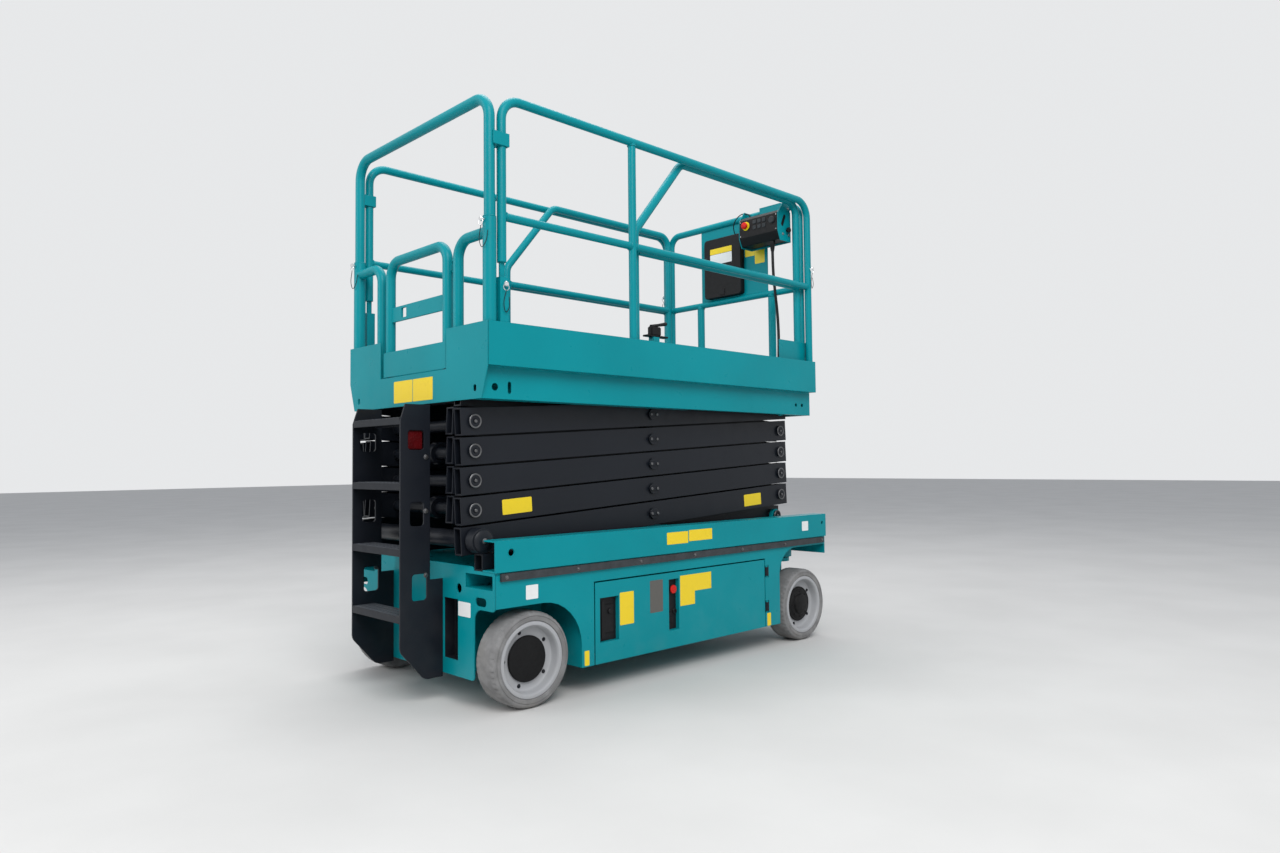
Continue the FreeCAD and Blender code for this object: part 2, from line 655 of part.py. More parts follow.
def inner_frame(linkset):
    """Two inner arms, cross tubes between them, and pins that carry the outer arms."""
    top = linkset == LINKSETS
    rear_end = TOP_INNER_END if top else ARM_END
    half = []
    half.append(arm(INNER_Y0, INNER_Y1, rear_end, ARM_END))
    half.append(pin(0, OUTER_Y1, PIN_RADIUS, PIN_HEAD_RADIUS))
    if linkset == 1:
        half.append(pin(HALF_ARM, OUTER_Y0 + 20, PIN_RADIUS, PIN_HEAD_RADIUS))
    else:
        half.append(pin(HALF_ARM, OUTER_Y1, PIN_RADIUS, PIN_HEAD_RADIUS))
    if top:
        half.append(cross_rod(-HALF_ARM, 0, INNER_Y1, ROLLER_Y0, TOP_INNER_END - ARM_WALL))
        half.append(cross_rod(-HALF_ARM, 0, ROLLER_Y0 - 2, ROLLER_Y1 - 4, TOP_ROLLER_RADIUS))
    else:
        half.append(pin(-HALF_ARM, OUTER_Y1, PIN_RADIUS, PIN_HEAD_RADIUS))
    pieces = [on_side(fused(half), side) for side in SIDES]
    for at in (-REAR_TUBE_AT, FRONT_TUBE_AT):
        radius = EYE_TUBE_RADIUS if at < 0 else CROSS_TUBE_RADIUS
        pieces.append(cross_rod(at * HALF_ARM, 0, -INNER_Y0, INNER_Y0, radius))
    if linkset in (3, 5):
        pieces += rod_clevis()
    return laid(fused(pieces), linkset, False)


def rod_clevis():
    """The cross tube and the two lugs that a lift cylinder's rod pushes on."""
    x = ROD_EYE_AT * HALF_ARM
    pieces = [cross_rod(x, EYE_TUBE_LIFT, -INNER_Y0, INNER_Y0, EYE_TUBE_RADIUS)]
    y0 = EYE_HALF_WIDTH + 6
    for side in SIDES:
        lug = side_plate([(x + EYE_RADIUS, 0, -EYE_RADIUS), (x + EYE_RADIUS, EYE_TUBE_LIFT),
                          (x - EYE_RADIUS, EYE_TUBE_LIFT), (x - EYE_RADIUS, 0)],
                         y0, y0 + LUG_THICK)
        stub = cross_rod(x, 0, y0 + LUG_THICK, y0 + 2 * LUG_THICK, EYE_PIN_RADIUS)
        gusset = side_plate([(x - 60, 0), (x + 60, 0), (x + 30, EYE_TUBE_LIFT + 20),
                             (x - 30, EYE_TUBE_LIFT + 20)], INNER_Y0 - LUG_THICK, INNER_Y0)
        pieces += [on_side(lug, side), on_side(stub, side), on_side(gusset, side)]
    return pieces


# Lift cylinders

def cylinder_ends(linkset):
    """Where a lift cylinder's two eyes are at rest, as (x, z)."""
    reach = HALF_ARM * math.cos(REST_ANGLE)
    rise = HALF_ARM * math.sin(REST_ANGLE)
    low_z = LEVEL_0 + (linkset - 0.5) * PITCH + REAR_TUBE_AT * rise
    high_z = LEVEL_0 + (linkset + 1.5) * PITCH - ROD_EYE_AT * rise
    return (CENTRE_X - REAR_TUBE_AT * reach, low_z), (CENTRE_X + ROD_EYE_AT * reach, high_z)


def lift_cylinder(linkset):
    """Barrel and rod, drawn along X from the barrel's eye and then laid between the two eyes."""
    low, high = cylinder_ends(linkset)
    length = math.hypot(high[0] - low[0], high[1] - low[1])
    barrel_end = length - ROD_SHOWN
    eye = cross_rod(0, 0, -BARREL_EYE_HALF, BARREL_EYE_HALF, BARREL_EYE_RADIUS)
    body = rod(0, 0, 0, X_AXIS, BARREL_RADIUS, barrel_end)
    gland = rod(barrel_end - 40, 0, 0, X_AXIS, BARREL_RADIUS + 5, 40)
    barrel = fused([eye, body, gland])
    barrel = barrel.cut(cross_rod(0, 0, -BARREL_EYE_HALF - 20, BARREL_EYE_HALF + 20,
                                  EYE_TUBE_RADIUS + PIN_GAP))
    bore_start = 120
    barrel = barrel.cut(rod(bore_start, 0, 0, X_AXIS, ROD_RADIUS + PIN_GAP, barrel_end))
    shaft = rod(bore_start + 10, 0, 0, X_AXIS, ROD_RADIUS, length - bore_start - 10)
    rod_eye = cross_rod(length, 0, -EYE_HALF_WIDTH, EYE_HALF_WIDTH, EYE_RADIUS)
    piston_rod = fused([shaft.cut(rod(length, 0, 0, X_AXIS, 50, 50)), rod_eye])
    piston_rod = piston_rod.cut(cross_rod(length, 0, -EYE_HALF_WIDTH - 1, EYE_HALF_WIDTH + 1,
                                          EYE_PIN_RADIUS))
    turn = -math.degrees(math.atan2(high[1] - low[1], high[0] - low[0]))
    for piece in (barrel, piston_rod):
        piece.rotate(Vector(0, 0, 0), Y_AXIS, turn)
        piece.translate(Vector(low[0], 0, low[1]))
    return barrel, piston_rod


# Ladder

def ladder():
    y0 = LADDER_Y
    y1 = LADDER_Y + LADDER_THICK
    outline = [
        (LADDER_FRONT, 480),
        (LADDER_FRONT, LADDER_TOP),
        (LADDER_REAR + 45, LADDER_TOP),
        (LADDER_REAR, LADDER_TOP - 45),
        (LADDER_REAR, 250),
        (LADDER_REAR + 90, LADDER_BOTTOM),
        (CHASSIS_REAR, LADDER_BOTTOM),
        (CHASSIS_REAR, 480),
    ]
    stringer = side_plate(outline, y0, y1)
    for z in LADDER_HOLES_Z:
        hole = box(LADDER_REAR + 45, LADDER_REAR + 95, y0 - 1, y1 + 1, z, z + 75)
        stringer = stringer.cut(hole)
    pieces = [on_side(stringer, side) for side in SIDES]
    for i in range(STEPS):
        z = STEP_FIRST + i * STEP_PITCH
        step = box(LADDER_REAR, LADDER_REAR + STEP_DEPTH, -y0, y0, z - STEP_THICK, z)
        step = step.cut(box(LADDER_REAR + 4, LADDER_REAR + STEP_DEPTH - 4, -y0 + 1, y0 - 1,
                            z - STEP_THICK - 1, z - 4))
        pieces.append(step)
    return fused(pieces)


# Platform

def slide_rail():
    """The C rail under the floor that the top sliders run in."""
    z = LEVEL_0 + LINKSETS * PITCH
    up = z + TOP_ROLLER_RADIUS + RUN_GAP
    down = z - TOP_ROLLER_RADIUS - RUN_GAP
    x0 = PLATFORM_REAR + BAND_SHEET
    x1 = FRONT_PIN_X - ARM_LENGTH * math.cos(TOP_ANGLE) + 2 * TOP_ROLLER_RADIUS
    web = box(x0, x1, SLIDE_RAIL_Y1 - SHEET, SLIDE_RAIL_Y1, down - SHEET, BAND_STEP)
    upper = box(x0, x1, SLIDE_RAIL_Y0, SLIDE_RAIL_Y1, up, up + SHEET)
    lower = box(x0, x1, SLIDE_RAIL_Y0, SLIDE_RAIL_Y1, down - SHEET, down)
    return fused([web, upper, lower])


def top_bracket():
    """The ear and pin that hold the platform on the topmost outer arm."""
    z = LEVEL_0 + LINKSETS * PITCH
    y0 = OUTER_Y1 + 6
    outline = [(FRONT_PIN_X - 60, BAND_STEP), (FRONT_PIN_X - 34, z), (FRONT_PIN_X + 34, z, -34),
               (FRONT_PIN_X + 60, BAND_STEP)]
    ear = side_plate(outline, y0, y0 + 14)
    axle = cross_rod(FRONT_PIN_X, z, OUTER_Y0 - 4, y0, PIN_RADIUS)
    return fused([ear, axle])


def platform_end(x0, thick, cut_for_gate):
    """A full-width end plate that tapers in below the step of the side bands."""
    points = [
        (-PLATFORM_Y, BAND_TOP), (PLATFORM_Y, BAND_TOP), (PLATFORM_Y, BAND_STEP),
        (LOW_BAND_Y, BAND_BOTTOM), (-LOW_BAND_Y, BAND_BOTTOM), (-PLATFORM_Y, BAND_STEP),
    ]
    corners = [Vector(x0, y, z) for y, z in points]
    plate = Part.Face(Part.makePolygon(corners + [corners[0]])).extrude(X_AXIS * thick)
    if cut_for_gate:
        plate = plate.cut(box(x0 - 1, x0 + thick + 1, -ENTRY_HALF, ENTRY_HALF,
                              BAND_STEP + FLOOR_THICK, BAND_TOP + 1))
    return plate


def platform_frame():
    x0 = PLATFORM_REAR + BAND_SHEET
    x1 = PLATFORM_FRONT
    pieces = [box(x0, x1, -LOW_BAND_Y, LOW_BAND_Y, BAND_STEP, BAND_STEP + FLOOR_THICK)]
    pieces.append(platform_end(PLATFORM_REAR, BAND_SHEET, True))
    pieces.append(box(x1 - SHEET, x1, -LOW_BAND_Y, LOW_BAND_Y, BAND_BOTTOM, BAND_STEP))
    for x in (-900, -400, 100, 600):
        pieces.append(box(x, x + 50, -LOW_BAND_Y, LOW_BAND_Y, BAND_STEP - 28, BAND_STEP))
    for side in SIDES:
        toe = box(x0, x1, PLATFORM_Y - BAND_SHEET, PLATFORM_Y, BAND_STEP, BAND_TOP)
        ledge = box(x0, x1, LOW_BAND_Y - 1, PLATFORM_Y, BAND_STEP, BAND_STEP + BAND_SHEET)
        low = box(x0, x1, LOW_BAND_Y - BAND_SHEET, LOW_BAND_Y, BAND_BOTTOM, BAND_STEP)
        foot = box(x0, x1, LOW_BAND_Y - 30, LOW_BAND_Y, BAND_BOTTOM, BAND_BOTTOM + BAND_SHEET)
        post = box(SIDE_REAR_POST_X - POST_SIDE / 2, SIDE_REAR_POST_X + POST_SIDE / 2,
                   PLATFORM_Y - BAND_SHEET - POST_SIDE, PLATFORM_Y - BAND_SHEET,
                   BAND_STEP + BAND_SHEET, FOLD_END_Z - SEAT_GAP)
        pieces += [on_side(s, side) for s in (toe, ledge, low, foot, post, slide_rail(),
                                              top_bracket())]
    return fused(pieces)


def platform_rail(side):
    """One side guard rail: a hoop with a middle rail and a middle post."""
    y = side * RAIL_Y
    low = BAND_STEP + BAND_SHEET + SEAT_GAP
    hoop = tube([(SIDE_REAR_POST_X, y, FOLD_END_Z), (SIDE_REAR_POST_X, y, TOP_RAIL_Z),
                 (SIDE_FRONT_POST_X, y, TOP_RAIL_Z), (SIDE_FRONT_POST_X, y, low)],
                RAIL_TUBE, RAIL_BEND)
    middle = rod(SIDE_REAR_POST_X, y, MID_RAIL_Z, X_AXIS, RAIL_TUBE - 2,
                 SIDE_FRONT_POST_X - SIDE_REAR_POST_X)
    post = rod(MID_POST_X, y, low, Z_AXIS, RAIL_TUBE - 1, TOP_RAIL_Z - low)
    return fused([hoop, middle, post])


def rear_rails():
    """The full-width rear hoop and the two short hoops beside the gate."""
    low = BAND_STEP + BAND_SHEET + SEAT_GAP
    x = REAR_RAIL_X
    pieces = [tube([(x, -RAIL_Y, low), (x, -RAIL_Y, TOP_RAIL_Z), (x, RAIL_Y, TOP_RAIL_Z),
                    (x, RAIL_Y, low)], RAIL_TUBE, RAIL_BEND)]
    for side in SIDES:
        short = tube([(x, side * RAIL_Y, HOOP_TOP), (x, side * HOOP_Y, HOOP_TOP),
                      (x, side * HOOP_Y, BAND_STEP + FLOOR_THICK + SEAT_GAP)], GATE_TUBE, HOOP_BEND)
        pieces.append(short)
    return fused(pieces + gate_hinge_lugs())


def gate_hinge_lugs():
    """Pins that the gate's sleeves turn on, each held by a plate below and above the sleeve."""
    pieces = []
    for z in GATE_HINGE_Z:
        reach = GATE_SLEEVE_HEIGHT / 2 + RUN_GAP
        pieces.append(rod(GATE_HINGE_X, GATE_HINGE_Y, z - reach - 1, Z_AXIS, GATE_PIN, 2 * reach + 2))
        for z0 in (z - reach - SHEET, z + reach):
            pieces.append(box(REAR_RAIL_X, GATE_HINGE_X, -HOOP_Y, GATE_HINGE_Y - 4, z0, z0 + SHEET))
            pieces.append(rod(GATE_HINGE_X, GATE_HINGE_Y, z0, Z_AXIS, GATE_SLEEVE, SHEET))
    return pieces


def gate():
    x = REAR_RAIL_X
    hoop = tube([(x, -GATE_HALF, GATE_BOTTOM), (x, -GATE_HALF, GATE_TOP), (x, GATE_HALF, GATE_TOP),
                 (x, GATE_HALF, GATE_BOTTOM)], GATE_TUBE, HOOP_BEND)
    sheet = box(x - 3, x + 3, -GATE_HALF, GATE_HALF, GATE_BOTTOM, GATE_SHEET_TOP)
    bar = box(x - 5, x + 5, -GATE_HALF, GATE_HALF, *GATE_BAR)
    pieces = [hoop, sheet, bar]
    half = GATE_SLEEVE_HEIGHT / 2
    for z in GATE_HINGE_Z:
        sleeve = rod(GATE_HINGE_X, GATE_HINGE_Y, z - half, Z_AXIS, GATE_SLEEVE, 2 * half)
        strap = box(x, GATE_HINGE_X + 4, GATE_HINGE_Y, -GATE_HALF, z - half, z + half)
        bore = rod(GATE_HINGE_X, GATE_HINGE_Y, z - half - 1, Z_AXIS, GATE_PIN + PIN_GAP, 2 * half + 2)
        pieces.append(fused([sleeve, strap]).cut(bore))
    return fused(pieces)


# Extension

def extension_deck():
    front = PLATFORM_FRONT
    pieces = [box(EXT_REAR, front, -EXT_BOARD_Y, EXT_BOARD_Y, EXT_FLOOR, EXT_FLOOR + EXT_FLOOR_THICK)]
    pieces.append(box(front - BAND_SHEET, front, -EXT_BOARD_Y, EXT_BOARD_Y, EXT_FLOOR, EXT_BOARD_TOP))
    under = BAND_STEP + FLOOR_THICK + RUN_GAP
    for side in SIDES:
        board = box(EXT_REAR, front, EXT_BOARD_Y - BAND_SHEET, EXT_BOARD_Y, EXT_FLOOR, EXT_BOARD_TOP)
        pieces.append(on_side(board, side))
        for x in (EXT_REAR, front - 2 * PAD_LENGTH):
            pad = box(x, x + PAD_LENGTH, EXT_BOARD_Y - 60, EXT_BOARD_Y - 10, under, EXT_FLOOR)
            pieces.append(on_side(pad, side))
    return fused(pieces + [cable_gland()])


def extension_rails():
    low = EXT_FLOOR + EXT_FLOOR_THICK
    pieces = []
    for side in SIDES:
        y = side * EXT_RAIL_Y
        pieces.append(tube([(EXT_REAR + 20, y, low), (EXT_REAR + 20, y, EXT_KNEE_Z),
                            (EXT_BEND_X, y, EXT_TOP_Z), (EXT_FRONT_X, y, EXT_TOP_Z),
                            (EXT_FRONT_X, y, low)], EXT_TUBE, RAIL_BEND - 20))
        pieces.append(rod(EXT_REAR + 20, y, MID_RAIL_Z, X_AXIS, EXT_TUBE - 2,
                          EXT_FRONT_X - EXT_REAR - 20))
    for z in (EXT_TOP_Z, MID_RAIL_Z):
        pieces.append(cross_rod(EXT_FRONT_X, z, -EXT_RAIL_Y, EXT_RAIL_Y, EXT_TUBE - 2))
    pieces.append(box(EXT_FRONT_X - PANEL_SHEET / 2, EXT_FRONT_X + PANEL_SHEET / 2, *PANEL_Y,
                      MID_RAIL_Z, EXT_TOP_Z))
    return fused(pieces)


def control_box():
    """The upper control box: a housing with a sloping top, hung on the rail by a hooked plate."""
    front = EXT_FRONT_X - EXT_TUBE - 4 * HOOK_SHEET
    outline = [(CONTROL_REAR, CONTROL_BOTTOM), (front, CONTROL_BOTTOM), (front, CONTROL_TOP),
               (CONTROL_REAR + CONTROL_SLOPE, CONTROL_TOP),
               (CONTROL_REAR, CONTROL_TOP - CONTROL_SLOPE)]
    housing = side_plate(outline, *CONTROL_Y)
    over = EXT_TOP_Z + EXT_TUBE + SEAT_GAP
    beyond = EXT_FRONT_X + EXT_TUBE + SEAT_GAP
    inset = 4 * HOOK_SHEET
    y0, y1 = CONTROL_Y[0] + inset, CONTROL_Y[1] - inset
    back = box(front, front + HOOK_SHEET, y0, y1, CONTROL_BOTTOM, over + HOOK_SHEET)
    cap = box(front, beyond + HOOK_SHEET, y0, y1, over, over + HOOK_SHEET)
    lip = box(beyond, beyond + HOOK_SHEET, y0, y1, EXT_TOP_Z, over)
    x, y, z = CABLE_ROUTE[0]
    gland = rod(x, y, z, Z_AXIS, 2 * CABLE_RADIUS, CONTROL_BOTTOM - z)
    return fused([housing, back, cap, lip, gland])


def manual_box():
    x1 = EXT_FRONT_X - PANEL_SHEET / 2 - SEAT_GAP
    return box(x1 - MANUAL_DEPTH, x1, *MANUAL_Y, *MANUAL_Z)


def smooth_cord(points, radius):
    """A round cord: straight runs joined by arcs as large as the runs allow."""
    corners = [Vector(*p) for p in points]
    edges = []
    start = corners[0]
    for i in range(1, len(corners) - 1):
        into = corners[i] - corners[i - 1]
        out = corners[i + 1] - corners[i]
        back = 0.45 * min(into.Length, out.Length)
        into.normalize()
        out.normalize()
        turn = into.getAngle(out)
        bend = back / math.tan(turn / 2)
        inward = out - into
        inward.normalize()
        a = corners[i] - into * back
        b = corners[i] + out * back
        centre = corners[i] + inward * (bend / math.cos(turn / 2))
        edges.append(Part.LineSegment(start, a).toShape())
        edges.append(Part.Arc(a, centre - inward * bend, b).toShape())
        start = b
        print("cable bend radius %.0f" % bend)
    edges.append(Part.LineSegment(start, corners[-1]).toShape())
    ring = Part.Wire([Part.Circle(corners[0], corners[1] - corners[0], radius).toShape()])
    path = Part.Wire(edges)
    cord = path.makePipeShell([ring], True, True)
    print("cable length %.0f, volume over section %.0f"
          % (path.Length, cord.Volume / (math.pi * radius ** 2)))
    return cord


def cable_gland():
    x, y, z = CABLE_ROUTE[-1]
    low = EXT_FLOOR + EXT_FLOOR_THICK
    return rod(x, y, low, Z_AXIS, 2 * CABLE_RADIUS, z - low)


for name, x, side in (("rear_right", -WHEEL_X, RIGHT), ("rear_left", -WHEEL_X, LEFT),
                      ("front_right", WHEEL_X, RIGHT), ("front_left", WHEEL_X, LEFT)):
    save("tyre_" + name, [tyre(x, side)])
    save("rim_" + name, [rim(x, side)])

save("chassis_frame", [chassis_frame()])
save("side_beams", [on_side(side_beam(), side) for side in SIDES])
save("roller_tracks", [on_side(roller_track(), side) for side in SIDES])
save("guard_strips", [on_side(guard_strip(), side) for side in SIDES])
save("rear_axle", [rear_axle()])
save("front_axle", [front_axle()])
save("ladder", [ladder()])
for name, side in (("right", RIGHT), ("left", LEFT)):
    save("knuckle_" + name, [on_side(knuckle(), side)])
    save("tray_" + name, [tray(side)])
save("tie_rod", [tie_rod()])
save("batteries", batteries())
save("power_unit", power_unit())
for linkset in range(1, LINKSETS + 1):
    save("inner_%d" % linkset, [inner_frame(linkset)])
    save("outer_%d" % linkset, outer_arms(linkset))
for name, linkset in (("lower", 1), ("upper", 3)):
    barrel, piston_rod = lift_cylinder(linkset)
    save("barrel_" + name, [barrel])
    save("rod_" + name, [piston_rod])
save("platform_frame", [platform_frame()])
save("platform_rails", [platform_rail(side) for side in SIDES])
save("rear_rails", [rear_rails()])
save("gate", [gate()])
save("extension_deck", [extension_deck()])
save("extension_rails", [extension_rails()])
save("control_box", [control_box()])
save("manual_box", [manual_box()])
save("control_cable", [smooth_cord(CABLE_ROUTE, CABLE_RADIUS)])
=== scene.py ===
import json
import math
import random

import bmesh
import bpy
from mathutils import Matrix, Quaternion, Vector
from mathutils.geometry import tessellate_polygon


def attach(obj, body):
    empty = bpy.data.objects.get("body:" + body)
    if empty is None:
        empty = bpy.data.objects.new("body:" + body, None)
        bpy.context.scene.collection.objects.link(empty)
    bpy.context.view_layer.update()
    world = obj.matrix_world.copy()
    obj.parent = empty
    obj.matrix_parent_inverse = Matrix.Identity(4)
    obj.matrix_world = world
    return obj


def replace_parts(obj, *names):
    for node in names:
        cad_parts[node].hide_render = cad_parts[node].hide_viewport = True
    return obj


# An electric scissor lift, lowered, seen from behind and to its right. Metres, the frame's
# own axes: +X to the front, -Y to the right, +Z up.

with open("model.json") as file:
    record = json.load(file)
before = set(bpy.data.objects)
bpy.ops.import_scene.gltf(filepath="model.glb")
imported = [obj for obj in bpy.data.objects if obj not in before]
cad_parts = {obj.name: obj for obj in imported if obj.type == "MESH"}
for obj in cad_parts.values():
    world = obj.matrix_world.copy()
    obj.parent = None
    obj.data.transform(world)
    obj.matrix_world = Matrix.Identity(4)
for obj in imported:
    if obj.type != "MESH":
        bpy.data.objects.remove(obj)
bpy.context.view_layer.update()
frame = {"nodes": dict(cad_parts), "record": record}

# Camera, worked out for the photograph's frame of 1280 x 853
CAMERA_AT = (-2.9563, -3.3681, 0.9665)
CAMERA_YAW = 0.7972
CAMERA_PITCH = 0.0421
CAMERA_ROLL = -0.0099
FOCAL_PIXELS = 870.1
IMAGE_WIDTH = 1280
SENSOR = 36.0

# Places below are measured about the middle of the wheelbase, which is this far in front of
# the frame's origin. Every new mesh is moved by it once, when it is made.
WHEELBASE_X = 0.0895

SHEET, BAND_SHEET = 0.006, 0.004
SEAT_GAP = 0.0003           # between fixed sheets, so that no two faces lie in one plane
RUN_GAP = 0.0005            # between sheets that slide or turn

# Solids of the frame that the pieces here stand on
WHEEL_RADIUS, WHEEL_X, WHEEL_FACE_Y = 0.1905, 0.921, 0.572
REAR_PIN_X, FRONT_PIN_X = -1.100, 0.910
CENTRE_PIN_X = (REAR_PIN_X + FRONT_PIN_X) / 2
LEVEL_0, PITCH = 0.668, 0.118
TOP_LEVEL = LEVEL_0 + 5 * PITCH
ARM_TILT = math.atan2(PITCH, FRONT_PIN_X - REAR_PIN_X)
PIN_FACE_Y, EAR_PIN_FACE_Y = 0.4395, 0.4095
ARM_FACE_Y, OUTER_Y0 = 0.430, 0.380
BEAM_Y, STRIP_Y = 0.585, 0.586

X_AXIS, Y_AXIS, Z_AXIS = Vector((1, 0, 0)), Vector((0, 1, 0)), Vector((0, 0, 1))
SIDES = (("right", -1), ("left", 1))


# Materials

SCISSOR_DARK = (0.0065, 0.0085, 0.0130)
YELLOW = (0.86, 0.62, 0.010)
DUST = (0.30, 0.28, 0.25)


class Shader:
    """A node tree around one Principled shader, with short calls to add to it."""

    def __init__(self, name):
        self.material = bpy.data.materials.new(name)
        self.material.use_nodes = True
        self.tree = self.material.node_tree
        self.shader = self.tree.nodes["Principled BSDF"]
        self.coords = self.add("ShaderNodeTexCoord").outputs["Object"]

    def add(self, kind, **inputs):
        node = self.tree.nodes.new(kind)
        for key, value in inputs.items():
            node.inputs[key.replace("_", " ")].default_value = value
        return node

    def link(self, out, into):
        self.tree.links.new(out, into)

    def set(self, key, value):
        self.shader.inputs[key].default_value = value

    def noise(self, scale, detail=3.0, stretch=(1, 1, 1)):
        place = self.add("ShaderNodeMapping", Scale=stretch)
        self.link(self.coords, place.inputs["Vector"])
        node = self.add("ShaderNodeTexNoise", Scale=scale, Detail=detail)
        self.link(place.outputs["Vector"], node.inputs["Vector"])
        return node.outputs["Fac"]

    def spread(self, value, low, high, to_low=0.0, to_high=1.0):
        """Maps a value from low..high to to_low..to_high and clamps it there."""
        node = self.add("ShaderNodeMapRange", From_Min=low, From_Max=high, To_Min=to_low,
                        To_Max=to_high)
        self.link(value, node.inputs["Value"])
        return node.outputs["Result"]

    def times(self, a, b):
        node = self.add("ShaderNodeMath")
        node.operation = "MULTIPLY"
        self.link(a, node.inputs[0])
        if isinstance(b, float):
            node.inputs[1].default_value = b
        else:
            self.link(b, node.inputs[1])
        return node.outputs[0]

    def mix(self, share, a, b):
        """A colour mix; a and b are colours or sockets."""
        node = self.tree.nodes.new("ShaderNodeMix")
        node.data_type = "RGBA"
        self.link(share, node.inputs["Factor"])
        for value, socket in ((a, node.inputs[6]), (b, node.inputs[7])):
            if isinstance(value, tuple):
                socket.default_value = (*value, 1)
            else:
                self.link(value, socket)
        return node.outputs[2]

    def height(self):
        split = self.add("ShaderNodeSeparateXYZ")
        self.link(self.coords, split.inputs["Vector"])
        return split.outputs["Z"]

    def colour(self, out):
        self.link(out, self.shader.inputs["Base Color"])

    def roughness(self, noise, low, high):
        self.link(self.spread(noise, 0.3, 0.7, low, high), self.shader.inputs["Roughness"])

    def bump(self, value, strength, distance, soft_edge=None):
        """Small relief, over edges that look rounded by soft_edge."""
        node = self.add("ShaderNodeBump", Strength=strength, Distance=distance)
        self.link(value, node.inputs["Height"])
        if soft_edge:
            bevel = self.add("ShaderNodeBevel", Radius=soft_edge)
            bevel.samples = 4
            self.link(bevel.outputs["Normal"], node.inputs["Normal"])
        self.link(node.outputs["Normal"], self.shader.inputs["Normal"])


def shaded(colour, factor):
    return tuple(channel * factor for channel in colour)


def paint(name, colour, gloss, dust_top, dust_share, gleam=0.16):
    """Sprayed paint: slight cloudiness, fine orange peel, and dust that thins upwards."""
    s = Shader(name)
    cloud = s.spread(s.noise(2.2, 4.0), 0.35, 0.65)
    fresh = s.mix(cloud, shaded(colour, 0.94), shaded(colour, 1.05))
    low = s.spread(s.height(), 0.0, dust_top, 1.0, 0.0)
    patchy = s.spread(s.noise(9.0, 6.0), 0.45, 0.72)
    s.colour(s.mix(s.times(s.times(low, patchy), dust_share), fresh, DUST))
    s.roughness(s.noise(14.0, 4.0), gloss, gloss + 0.12)
    s.bump(s.noise(420.0, 2.0), 0.05, 0.0004, 0.003)
    s.set("Specular IOR Level", gleam)
    return s.material


def rubber(name, colour):
    """Pale non-marking rubber: an even grey with rubbed patches and grey-brown dirt."""
    s = Shader(name)
    scuff = s.spread(s.noise(18.0, 8.0), 0.42, 0.62)
    worn = s.mix(scuff, shaded(colour, 0.86), shaded(colour, 1.12))
    grime = s.spread(s.noise(6.0, 5.0), 0.50, 0.72)
    s.colour(s.mix(s.times(grime, 0.30), worn, DUST))
    s.roughness(s.noise(60.0), 0.72, 0.92)
    s.bump(s.noise(190.0, 6.0), 0.28, 0.0010, 0.002)
    s.set("Specular IOR Level", 0.25)
    return s.material


def plastic(name, colour, gloss=0.42):
    s = Shader(name)
    cloud = s.spread(s.noise(30.0), 0.3, 0.7)
    s.colour(s.mix(cloud, shaded(colour, 0.85), shaded(colour, 1.25)))
    s.roughness(s.noise(90.0, 4.0), gloss, gloss + 0.15)
    s.bump(s.noise(900.0, 2.0), 0.12, 0.0003, 0.0015)
    s.set("Specular IOR Level", 0.22)
    return s.material


def metal(name, colour, gloss, streak=(1, 1, 1)):
    s = Shader(name)
    s.set("Metallic", 1.0)
    cloud = s.spread(s.noise(18.0, 5.0, streak), 0.3, 0.7)
    s.colour(s.mix(cloud, shaded(colour, 0.75), shaded(colour, 1.15)))
    s.roughness(s.noise(160.0, 3.0, streak), gloss, gloss + 0.16)
    s.bump(s.noise(500.0, 2.0, streak), 0.06, 0.0003)
    return s.material


def film(name, colour):
    """A film label with nothing printed on it: even, half gloss, a little scuffed."""
    s = Shader(name)
    scuff = s.spread(s.noise(40.0, 6.0), 0.55, 0.80, 0.0, 0.35)
    s.colour(s.mix(scuff, colour, shaded(colour, 0.82)))
    s.roughness(s.noise(70.0), 0.34, 0.48)
    return s.material


TEAL_PAINT = paint("teal_paint", (0.000, 0.245, 0.282), 0.27, 0.45, 0.07)
SCISSOR_PAINT = paint("scissor_paint", SCISSOR_DARK, 0.34, 0.9, 0.02, 0.28)
LADDER_PAINT = paint("ladder_paint", shaded(SCISSOR_DARK, 1.1), 0.40, 0.9, 0.03, 0.26)
DARK_PAINT = paint("dark_paint", shaded(SCISSOR_DARK, 0.9), 0.45, 0.5, 0.08, 0.25)
TREAD_PAINT = paint("tread_paint", (0.060, 0.066, 0.076), 0.50, 0.9, 0.15, 0.25)
RIM_PAINT = paint("rim_paint", (0.38, 0.385, 0.395), 0.42, 0.35, 0.30, 0.35)
TYRE_RUBBER = rubber("tyre_rubber", (0.215, 0.212, 0.210))
STRIP_RUBBER = plastic("strip_rubber", (0.040, 0.044, 0.048), 0.55)
BLACK_PLASTIC = plastic("black_plastic", (0.006, 0.006, 0.007))
HUB_BLACK = plastic("hub_black", (0.004, 0.004, 0.0045), 0.50)
RED_PLASTIC = plastic("red_plastic", (0.55, 0.012, 0.008), 0.30)
YELLOW_PLASTIC = plastic("yellow_plastic", YELLOW, 0.40)
LAMP_RED = plastic("lamp_red", (0.070, 0.003, 0.004), 0.18)
BARE_STEEL = metal("bare_steel", (0.42, 0.42, 0.43), 0.30)
PIN_STEEL = metal("pin_steel", (0.16, 0.16, 0.165), 0.38)
CHROME = metal("chrome", (0.80, 0.80, 0.81), 0.08, (1, 8, 8))
YELLOW_FILM = film("yellow_film", YELLOW)
WHITE_FILM = film("white_film", (0.80, 0.80, 0.79))
PLATE_FILM = film("plate_film", (0.10, 0.095, 0.085))

